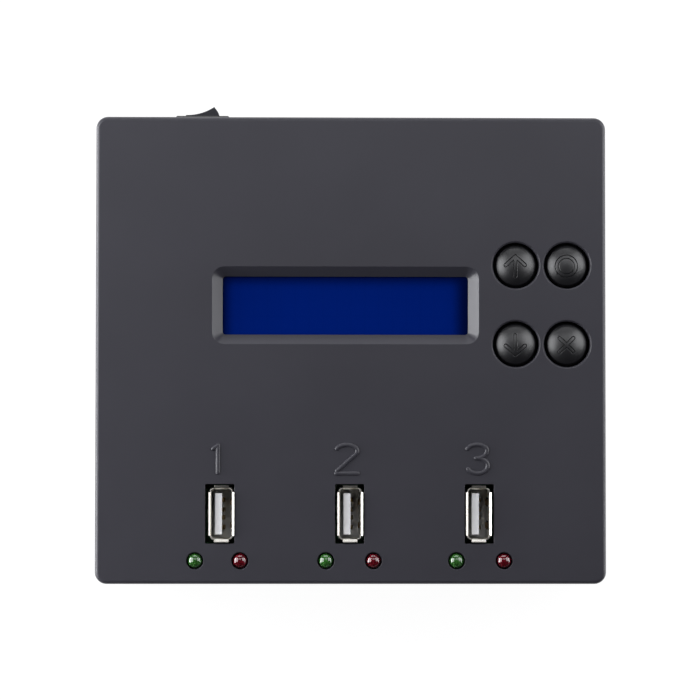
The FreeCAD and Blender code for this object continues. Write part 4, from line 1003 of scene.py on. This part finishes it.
@dataclass(frozen=True)
class Numeral:
    """A raised numeral of rounded strokes, about 8 mm tall."""

    digit: Digit
    half_stroke: float = 0.57
    height: float = 0.42
    arch_steps: int = 8
    end_shares: tuple[float, ...] = (0.98, 0.85, 0.5)
    sharp_angle: float = 50.0

    def lines(self) -> list[list[Point]]:
        """The centre lines of its strokes.

        Returns:
            The points of each line, in millimetres about the middle of the numeral.
        """
        if self.digit is Digit.ONE:
            return [[(0.23, 3.5), (0.23, -3.45)], [(0.2, 3.5), (-0.95, 2.65)]]
        if self.digit is Digit.TWO:
            bow = ellipse_points((-0.1, 2.1), (2.7, 1.56), 158.0, -34.0, 26)
            return [[*bow, (-2.6, -3.0)], [(-2.75, -3.61), (2.65, -3.61)]]
        crest = ellipse_points((-0.1, 2.3), (2.54, 1.43), 164.0, 0.0, 20)
        waist = ellipse_points((-0.1, 2.3), (2.54, 2.02), 0.0, -75.0, 12)
        lower = ellipse_points((0.0, -1.65), (2.63, 1.93), 98.0, -154.0, 32)
        return [[*crest, *waist[1:]], lower]

    def section(self, centre: Vector, across: Vector, share: float, place: Vector) -> list[Vector]:
        """The arched section of a stroke at one point of its centre line.

        Args:
            centre: The point, in millimetres.
            across: The direction across the stroke.
            share: How much of the full width and height it has here.
            place: The middle of the numeral on the top plate.

        Returns:
            The corners, from one foot over the top to the other.
        """
        arch = arc_points((0.0, 0.0), share, 0.0, 180.0, self.arch_steps)
        sides = [centre + across * (x * self.half_stroke) for x, rise in arch]
        return [place + Vector((*side, rise * self.height)) * MM for side, (x, rise) in zip(sides, arch)]

    def stroke_solid(self, mesh: bmesh.types.BMesh, line: list[Point], place: Vector) -> None:
        """Adds one stroke, with rounded ends.

        Args:
            mesh: The mesh that takes it.
            line: The centre line in millimetres.
            place: The middle of the numeral on the top plate.
        """
        middles = [Vector(point) for point in line]
        last = len(middles) - 1
        runs = [(middles[min(i + 1, last)] - middles[max(i - 1, 0)]).normalized() for i in range(last + 1)]
        ends = [(reach * self.half_stroke, math.sqrt(1 - reach * reach)) for reach in self.end_shares]
        stations = [(middles[0] - runs[0] * reach, runs[0], share) for reach, share in ends]
        stations += [(centre, run, 1.0) for centre, run in zip(middles, runs)]
        ends.reverse()
        stations += [(middles[last] + runs[last] * reach, runs[last], share) for reach, share in ends]
        swept(mesh, [self.section(centre, run.orthogonal(), share, place) for centre, run, share in stations])

    def build(self, place: Vector, material: bpy.types.Material) -> bpy.types.Object:
        """Makes the numeral.

        Args:
            place: Its middle on the top plate.
            material: The finish of the case.

        Returns:
            The new piece.
        """
        mesh = bmesh.new()
        for line in self.lines():
            self.stroke_solid(mesh, line, place)
        bmesh.ops.recalc_face_normals(mesh, faces=mesh.faces)
        return add_piece(f"numeral_{self.digit.value}", mesh, material, "top_shell", self.sharp_angle)


@dataclass
class CaseShells:
    """The two moulded halves of the case, with softened edges, and the raised numerals."""

    top: bpy.types.Material
    bottom: bpy.types.Material
    edge_width: float = 0.19 * MM
    numeral_ahead: float = 27.8 * MM
    numeral_x: tuple[float, float, float] = (-34.05 * MM, -0.98 * MM, 32.2 * MM)

    def build(self) -> None:
        """Softens both halves and puts the numerals on."""
        soften("top_shell", self.top, self.edge_width, segments=1)
        soften("bottom_shell", self.bottom, self.edge_width)
        low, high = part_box("top_shell")
        for digit, x in zip(Digit, self.numeral_x):
            Numeral(digit).build(Vector((x, (low.y + high.y) / 2 - self.numeral_ahead, high.z)), self.top)


# The sockets


@dataclass
class SocketGroup:
    """The three upright sockets: sheet shells with springs, moulded tongues and contacts."""

    shell: bpy.types.Material
    spring: bpy.types.Material
    # The dark stuff of the patches of painted shade in the spring windows
    window_shade: bpy.types.Material
    numbers: tuple[int, int, int] = (1, 2, 3)
    edge_width: float = 0.07 * MM
    mouth_half_width: float = 2.56 * MM
    spring_y: float = 2.96 * MM
    spring_top: float = 3.4 * MM
    spring_length: float = 6.2 * MM
    spring_width: float = 1.45 * MM
    spring_bow: float = 0.5 * MM
    spring_sheet: float = 0.12 * MM
    spring_steps: int = 10
    # The windows under the springs, filled by dark patches of painted shade: their width, and how far the
    # patches and springs stand off the wall
    window_width: float = 2.3 * MM
    window_stand: float = 0.02 * MM

    def build(self) -> None:
        """Softens the shells and adds the springs, each over a dark patch of painted shade in its window."""
        for number in self.numbers:
            soften(f"usb_shell_{number}", self.shell, self.edge_width)
            self.add_springs(number)

    def add_springs(self, number: int) -> None:
        """Adds the two leaf springs on the wall that faces the tongue, each in its window, which is filled by
        a dark patch of painted shade.

        Args:
            number: The number of the socket.
        """
        node = f"usb_shell_{number}"
        low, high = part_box(node)
        wall = (low.x + high.x) / 2 + self.mouth_half_width
        top = high.z - self.spring_top
        springs, window_shades = bmesh.new(), bmesh.new()
        for side in Side:
            y = (low.y + high.y) / 2 + side.value * self.spring_y
            add_leaf(springs, self.spring_steps, self.spring_sheet, partial(self.spring_place, wall, y, top))
            size = Vector((2 * self.window_stand, self.window_width, self.spring_length + self.spring_width))
            add_box(window_shades, size, Vector((wall, y, top - self.spring_length / 2)))
        add_piece(f"usb_springs_{number}", springs, self.spring, node)
        add_piece(f"usb_spring_window_shades_{number}", window_shades, self.window_shade, node)

    def spring_place(self, wall: float, y: float, top: float, across: float, along: float) -> Vector:
        """Where a point of a leaf spring lies, which is bowed away from the wall.

        Args:
            wall: Where the wall's inner face is along X.
            y: The middle of the spring along Y.
            top: The height of its upper end.
            across: The point's share across the leaf.
            along: Its share down the leaf.

        Returns:
            The place.
        """
        bow = self.spring_bow * math.sin(math.pi * along) + self.window_stand
        return Vector((wall - bow, y + across * self.spring_width, top - along * self.spring_length))


# The lights


@dataclass
class LightGroup:
    """The six round lights, each a clear domed lens over a small cup."""

    green: bpy.types.Material
    red: bpy.types.Material
    radius: float = 1.9 * MM
    flange_thickness: float = 1.0 * MM
    steps_round: int = 96
    dome_steps: int = 28

    def build(self) -> None:
        """Replaces each light by a fine turned lens."""
        for node in frame["nodes"]:
            if node.startswith("led_green_"):
                self.add_lens(node, self.green)
            elif node.startswith("led_red_"):
                self.add_lens(node, self.red)

    def add_lens(self, node: str, material: bpy.types.Material) -> None:
        """Replaces one light.

        Args:
            node: The name of its node.
            material: Its resin.
        """
        low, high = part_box(node)
        flange = (high.x - low.x) / 2
        dome = arc_points((0.0, high.z - self.radius), self.radius, 90.0, 0.0, self.dome_steps)
        ledge = low.z + self.flange_thickness
        base = [(self.radius, ledge), (flange, ledge), (flange, low.z), (0.0, low.z)]
        mesh = bmesh.new()
        turned(mesh, [(0.0, high.z), *dome[1:], *base], self.steps_round)
        bmesh.ops.translate(mesh, vec=middle(node).xy.to_3d(), verts=mesh.verts)
        bmesh.ops.recalc_face_normals(mesh, faces=mesh.faces)
        replace_node(node, "lens", mesh, material)


# Screws and feet


def solids_of(node: str) -> list[tuple[Vector, Vector]]:
    """The boxes of the separate solids of a node.

    Args:
        node: The name of the node.

    Returns:
        The low and the high corner of each.
    """
    mesh = merged_copy(node)
    waiting = set(mesh.verts)
    boxes = []
    while waiting:
        front = [waiting.pop()]
        places = []
        while front:
            vert = front.pop()
            places.append(vert.co.copy())
            near = {edge.other_vert(vert) for edge in vert.link_edges} & waiting
            waiting -= near
            front.extend(near)
        boxes.append((Vector(map(min, zip(*places))), Vector(map(max, zip(*places)))))
    mesh.free()
    return boxes


@dataclass
class CrossScrews:
    """The screws of one node, driven upward: pan heads with a cross recess and threaded shanks."""

    node: str
    finish: bpy.types.Material
    head_height: float
    shank_radius: float
    pitch: float
    flat_share: float = 0.72
    dome_share: float = 0.6
    dome_steps: int = 6
    cross_share: float = 0.5
    slot_share: float = 0.13
    recess_share: float = 0.6
    run_out: float = 0.6
    root_share: float = 0.8
    tip_share: float = 0.7
    steps_round: int = 48

    def profile(self, radius: float, length: float) -> list[Point]:
        """The outline of a screw from the rim of its flat over the head and along the thread.

        Args:
            radius: The radius of the head.
            length: The length of the shank above its seat.

        Returns:
            Radius and height of each point, with the seat at a height of 0.
        """
        flat = radius * self.flat_share
        rise = self.head_height * self.dome_share
        shoulder = (flat, rise - self.head_height)
        dome = ellipse_points(shoulder, (radius - flat, rise), -90.0, 0.0, self.dome_steps)
        root = self.shank_radius * self.root_share
        ridges = [
            (ring, height)
            for turn in range(1, int(length / self.pitch) - 1)
            for ring, height in ((root, turn * self.pitch), (self.shank_radius, (turn + 0.5) * self.pitch))
        ]
        plain = self.pitch * self.run_out
        neck = [(radius, 0.0), (self.shank_radius, 0.0), (self.shank_radius, plain)]
        tip = [(root, length - plain), (root * self.tip_share, length), (0.0, length)]
        return dome + neck + ridges + tip

    def sink_cross(self, mesh: bmesh.types.BMesh, radius: float) -> None:
        """Fills the flat of a head with a face that has a cross recess.

        Args:
            mesh: The turned screw, open at the flat of its head.
            radius: The radius of the head.
        """
        rim = [edge for edge in mesh.edges if edge.is_boundary]
        reach, slot = radius * self.cross_share, radius * self.slot_share
        grid = bmesh.ops.create_grid(mesh, x_segments=3, y_segments=3, size=reach)["verts"]
        for vert in grid:
            for axis in (0, 1):
                if abs(vert.co[axis]) < reach / 2:
                    vert.co[axis] = math.copysign(slot, vert.co[axis])
            vert.co.z = -self.head_height
        faces = {face for vert in grid for face in vert.link_faces}
        border = [edge for vert in grid for edge in vert.link_edges if edge.is_boundary]
        bmesh.ops.bridge_loops(mesh, edges=list(set(border)) + rim)
        arms = [face for face in faces if min(abs(c) for c in face.calc_center_median()[:2]) < slot]
        added = bmesh.ops.extrude_face_region(mesh, geom=arms)["geom"]
        floor = [item for item in added if isinstance(item, bmesh.types.BMVert)]
        bmesh.ops.translate(mesh, vec=(0, 0, self.head_height * self.recess_share), verts=floor)

    def build(self) -> bpy.types.Object:
        """Replaces the screws of the node.

        Returns:
            The new piece.
        """
        everything = bmesh.new()
        for low, high in solids_of(self.node):
            radius = (high.x - low.x) / 2
            mesh = bmesh.new()
            turned(mesh, self.profile(radius, high.z - low.z - self.head_height), self.steps_round)
            self.sink_cross(mesh, radius)
            place = ((low.x + high.x) / 2, (low.y + high.y) / 2, low.z + self.head_height)
            bmesh.ops.translate(mesh, vec=place, verts=mesh.verts)
            one = bpy.data.meshes.new("screw")
            mesh.to_mesh(one)
            mesh.free()
            everything.from_mesh(one)
            bpy.data.meshes.remove(one)
        bmesh.ops.recalc_face_normals(everything, faces=everything.faces)
        return replace_node(self.node, "threaded", everything, self.finish, SHARP_ANGLE)


@dataclass
class Feet:
    """The four rubber feet."""

    finish: bpy.types.Material
    edge_width: float = 0.2 * MM

    def build(self) -> None:
        """Softens each foot."""
        for node in frame["nodes"]:
            if node.startswith("foot_"):
                soften(node, self.finish, self.edge_width)


# The rear


@dataclass
class PowerSwitch:
    """The rocker in its frame, with a line and a ring painted on its two halves."""

    rocker: bpy.types.Material
    bezel: bpy.types.Material
    paint: bpy.types.Material
    rocker_edge: float = 0.22 * MM
    rocker_facets: int = 3
    bezel_edge: float = 0.12 * MM
    face_height: float = 1.934 * MM
    dish_radius: float = 12.43 * MM
    mark_offset: float = 2.1 * MM
    mark_reach: float = 1.05 * MM
    mark_width: float = 0.34 * MM
    mark_thickness: float = 0.1 * MM
    mark_sink: float = 0.02 * MM
    ring_steps: int = 48

    def build(self) -> None:
        """Softens both pieces and paints the marks."""
        soften("rocker_frame", self.bezel, self.bezel_edge)
        soften("rocker", self.rocker, self.rocker_edge, self.rocker_facets)
        mesh = bmesh.new()
        size = Vector((self.mark_width, self.mark_thickness, 2 * self.mark_reach))
        line = add_box(mesh, size, Vector((0, self.mark_thickness / 2, 0)))
        self.lay(mesh, line, Side.LEFT)
        self.lay(mesh, self.ring(mesh), Side.RIGHT)
        bmesh.ops.recalc_face_normals(mesh, faces=mesh.faces)
        add_piece("rocker_marks", mesh, self.paint, "rocker")

    def ring(self, mesh: bmesh.types.BMesh) -> list[bmesh.types.BMVert]:
        """Adds the ring mark about the origin, facing the rear.

        Args:
            mesh: The mesh of the marks.

        Returns:
            Its vertices.
        """
        outside, inside, top = self.mark_reach, self.mark_reach - self.mark_width, self.mark_thickness
        profile = [(inside, 0.0), (inside, top), (outside, top), (outside, 0.0), (inside, 0.0)]
        ring = turned(mesh, profile, self.ring_steps)
        facing_rear = Matrix.Rotation(math.radians(-90), 3, "X")
        bmesh.ops.rotate(mesh, cent=(0, 0, 0), matrix=facing_rear, verts=ring)
        return ring

    def lay(self, mesh: bmesh.types.BMesh, mark: list[bmesh.types.BMVert], side: Side) -> None:
        """Moves a mark onto its half of the dished face of the rocker as it rests.

        Args:
            mesh: The mesh of the marks.
            mark: The vertices of the mark, drawn about the origin and facing the rear.
            side: The half of the rocker.
        """
        joint = next(j for j in frame["record"]["behaviour"]["joints"] if j["name"] == "rocker_tilt")
        rest_tilt = math.radians(-sum(joint["range_deg"]) / 2)
        along = side.value * self.mark_offset
        rise = self.dish_radius - math.sqrt(self.dish_radius**2 - along**2)
        onto = Matrix.Translation((along, self.face_height + rise - self.mark_sink, 0.0))
        lean = Matrix.Rotation(math.asin(along / self.dish_radius), 4, "Z")
        tilt = Matrix.Translation(joint["pos_m"]) @ Matrix.Rotation(rest_tilt, 4, "Z")
        bmesh.ops.transform(mesh, matrix=tilt @ onto @ lean, verts=mark)


@dataclass
class PowerInlet:
    """The round power inlet: its moulded body and the sprung contact in its bore."""

    plastic: bpy.types.Material
    metal: bpy.types.Material
    edge_width: float = 0.14 * MM
    bore_radius: float = 3.1 * MM
    spring_width: float = 1.6 * MM
    spring_start: float = 1.6 * MM
    spring_length: float = 8.4 * MM
    spring_bow: float = 0.28 * MM
    spring_sheet: float = 0.1 * MM
    spring_steps: int = 12

    def build(self) -> None:
        """Softens the body and adds the contact on the floor of the bore."""
        soften("jack_body", self.plastic, self.edge_width)
        axis = middle("jack_pin")
        start = Vector((axis.x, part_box("jack_body")[1].y - self.spring_start, axis.z))
        mesh = bmesh.new()
        add_leaf(mesh, self.spring_steps, self.spring_sheet, partial(self.spring_place, start))
        add_piece("jack_spring", mesh, self.metal, "jack_pin")

    def spring_place(self, start: Vector, across: float, along: float) -> Vector:
        """Where a point of the contact lies, which is bowed toward the pin.

        Args:
            start: The point on the bore's axis at its outer end.
            across: The point's share across the contact.
            along: Its share along the contact, inward.

        Returns:
            The place.
        """
        side = across * self.spring_width
        bow = self.spring_bow * math.sin(math.pi * along) + self.spring_sheet
        sag = side**2 / (2 * self.bore_radius)
        return start + Vector((side, -along * self.spring_length, bow + sag - self.bore_radius))


# The inside


@dataclass
class Capacitors:
    """The round capacitors: bare cans with a crimped neck, on square moulded feet."""

    can: bpy.types.Material
    plastic: bpy.types.Material
    foot_rise: float = 0.5 * MM
    neck_height: float = 2.1 * MM
    neck_half: float = 0.5 * MM
    neck_depth: float = 0.16 * MM
    rim: float = 0.42 * MM
    rim_fold: float = 0.3
    steps_round: int = 48

    def build(self) -> None:
        """Replaces the capacitors by turned cans, and adds their feet."""
        cans, dark = bmesh.new(), bmesh.new()
        for low, high in solids_of("capacitors"):
            radius = (high.x - low.x) / 2
            start = low.z + self.foot_rise
            neck = start + self.neck_height
            dip = radius - self.neck_depth
            fold = self.rim * self.rim_fold
            wall = [(0.0, start), (radius, start), (radius, neck - self.neck_half), (dip, neck)]
            wall += [(radius, neck + self.neck_half), (radius, high.z - self.rim)]
            top = [(radius - fold, high.z - fold), (radius - self.rim, high.z), (0.0, high.z)]
            can = turned(cans, wall + top, self.steps_round)
            place = ((low + high) / 2).xy.to_3d()
            bmesh.ops.translate(cans, vec=place, verts=can)
            size = Vector((2 * radius, 2 * radius, self.foot_rise))
            add_box(dark, size, place + Vector((0, 0, low.z + self.foot_rise / 2)))
        for mesh in (cans, dark):
            bmesh.ops.recalc_face_normals(mesh, faces=mesh.faces)
        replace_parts(add_piece("capacitor_cans", cans, self.can, "capacitors"), "capacitors")
        add_piece("capacitor_feet", dark, self.plastic, "capacitors")


@dataclass
class SoftenedParts:
    """The remaining inner pieces whose edges are rounded as made: one width for each node."""

    materials: dict[str, bpy.types.Material]
    widths: dict[str, float]

    def build(self) -> None:
        """Softens each node."""
        for node, width in self.widths.items():
            soften(node, self.materials[slot_of(node)], width)


# The object


# The finish of each material slot, apart from the display's
FINISHES = {
    "case_top": Moulded("case_charcoal", (0.038, 0.037, 0.046), roughness=0.36, depth=0.005 * MM),
    "case_bottom": Moulded("case_charcoal_lower", (0.034, 0.033, 0.041), roughness=0.38, depth=0.005 * MM),
    "foot_rubber": Moulded("foot_black", (0.02, 0.02, 0.02), roughness=0.8),
    "screw_steel": Sheet("screw_zinc", (0.55, 0.55, 0.56), roughness=0.3),
    "button_plastic": Moulded(
        "button_black", (0.0055, 0.0055, 0.007), roughness=0.4, depth=0.003 * MM, mottle=0.1, specular=1.0
    ),
    "switch_plastic": Moulded("switch_black", (0.02, 0.02, 0.02), roughness=0.5),
    "plunger_plastic": Moulded("plunger_white", (0.7, 0.7, 0.67), roughness=0.5),
    "contact_metal": Sheet("contact_tin", (0.6, 0.59, 0.56), roughness=0.3),
    "socket_shell": Sheet("socket_nickel", (0.82, 0.795, 0.725), roughness=0.33, tarnish=0.06),
    "socket_plastic": Moulded("socket_white", (0.95, 0.95, 0.97), roughness=0.4, mottle=0.01),
    # Gold flash, with its colour darkened as painted shade of the pockets that the contacts lie in
    "contact_gold": Sheet("contact_gold", (0.5, 0.38, 0.19), roughness=0.3),
    "light_green": Resin("light_green", (0.035, 0.14, 0.024)),
    "light_red": Resin("light_red", (0.13, 0.004, 0.01)),
    "spacer_plastic": Moulded("spacer_nylon", (0.62, 0.61, 0.57), roughness=0.5),
    "board": Laminate("board_green", (0.012, 0.1, 0.035), (0.03, 0.17, 0.06)),
    "display_metal": Moulded("display_frame_black", (0.012, 0.012, 0.013), roughness=0.35),
    "light_guide": Moulded("light_guide", (0.8, 0.8, 0.8), roughness=0.3),
    "chip_plastic": Moulded("chip_resin", (0.02, 0.02, 0.02), roughness=0.45),
    "can_metal": Sheet("can_aluminium", (0.72, 0.72, 0.73), roughness=0.28),
    "rocker_frame": Moulded("rocker_frame_black", (0.018, 0.018, 0.019), roughness=0.4),
    "rocker": Moulded("rocker_black", (0.022, 0.022, 0.028), roughness=0.3),
    "lead_red": Moulded("lead_red", (0.32, 0.015, 0.012), roughness=0.42),
    "lead_black": Moulded("lead_black", (0.02, 0.02, 0.02), roughness=0.42),
    "lead_socket": Moulded("lead_socket_white", (0.72, 0.7, 0.62), roughness=0.45),
    "jack_plastic": Moulded("jack_black", (0.02, 0.02, 0.021), roughness=0.4),
}


# How widely the sharp edges of the remaining pieces are rounded
SOFT_EDGES = {
    "display_frame": 0.15 * MM,
    "display_glass": 0.1 * MM,
    "controller_chip": 0.08 * MM,
    "memory_chip": 0.06 * MM,
    "regulator": 0.08 * MM,
    "crystal": 0.3 * MM,
    "header_block": 0.15 * MM,
    "lead_socket": 0.12 * MM,
}

# The field of the display that is clear of the painted shade at its rim: half its size, and how far it lies
# ahead of the glass's middle
FIELD_HALF = (31.7 * MM, 9.7 * MM)
FIELD_AHEAD = 1.4 * MM

# How far below the top plate the camera's aim lies
AIM_BELOW = 1.0 * MM


def main() -> None:
    logging.basicConfig(level=logging.INFO, format="%(message)s")
    materials = {slot: finish.make() for slot, finish in FINISHES.items()}
    glass = middle("display_glass")
    field_middle = (glass.x, glass.y - FIELD_AHEAD)
    # The display's own blue, and the darker blue of the painted shade at its rim
    blue, rim_shade_blue = (0.0, 0.0105, 0.137), (0.0, 0.0034, 0.038)
    materials["display_glass"] = DisplayFilm("display_blue", blue, rim_shade_blue, field_middle, FIELD_HALF).make()
    for node in frame["nodes"]:
        dress(node, materials[slot_of(node)])
    case_low, case_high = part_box("top_shell")
    aim = (case_low + case_high) / 2
    aim.z = case_high.z - AIM_BELOW
    Studio(aim).build()
    CaseShells(materials["case_top"], materials["case_bottom"]).build()
    spring = Sheet("spring_bronze", (0.62, 0.42, 0.24), roughness=0.3).make()
    # Dark stuff for the patches of painted shade in the spring windows of the sockets
    window_shade = Moulded("socket_window_shade", (0.03, 0.03, 0.03), roughness=0.9).make()
    SocketGroup(materials["socket_shell"], spring, window_shade).build()
    LightGroup(materials["light_green"], materials["light_red"]).build()
    for sign in Sign:
        PushButton(sign, materials["button_plastic"]).build()
    steel = materials["screw_steel"]
    CrossScrews("case_screws", steel, head_height=2.0 * MM, shank_radius=1.4 * MM, pitch=1.0 * MM).build()
    CrossScrews("board_screws", steel, head_height=1.6 * MM, shank_radius=1.2 * MM, pitch=0.8 * MM).build()
    CrossScrews("display_screws", steel, head_height=1.3 * MM, shank_radius=1.0 * MM, pitch=0.7 * MM).build()
    Feet(materials["foot_rubber"]).build()
    paint = Moulded("mark_white", (0.7, 0.7, 0.68), roughness=0.5).make()
    PowerSwitch(materials["rocker"], materials["rocker_frame"], paint).build()
    PowerInlet(materials["jack_plastic"], materials["contact_metal"]).build()
    Capacitors(materials["can_metal"], materials["chip_plastic"]).build()
    SoftenedParts(materials, SOFT_EDGES).build()


if __name__ == "__main__":
    main()
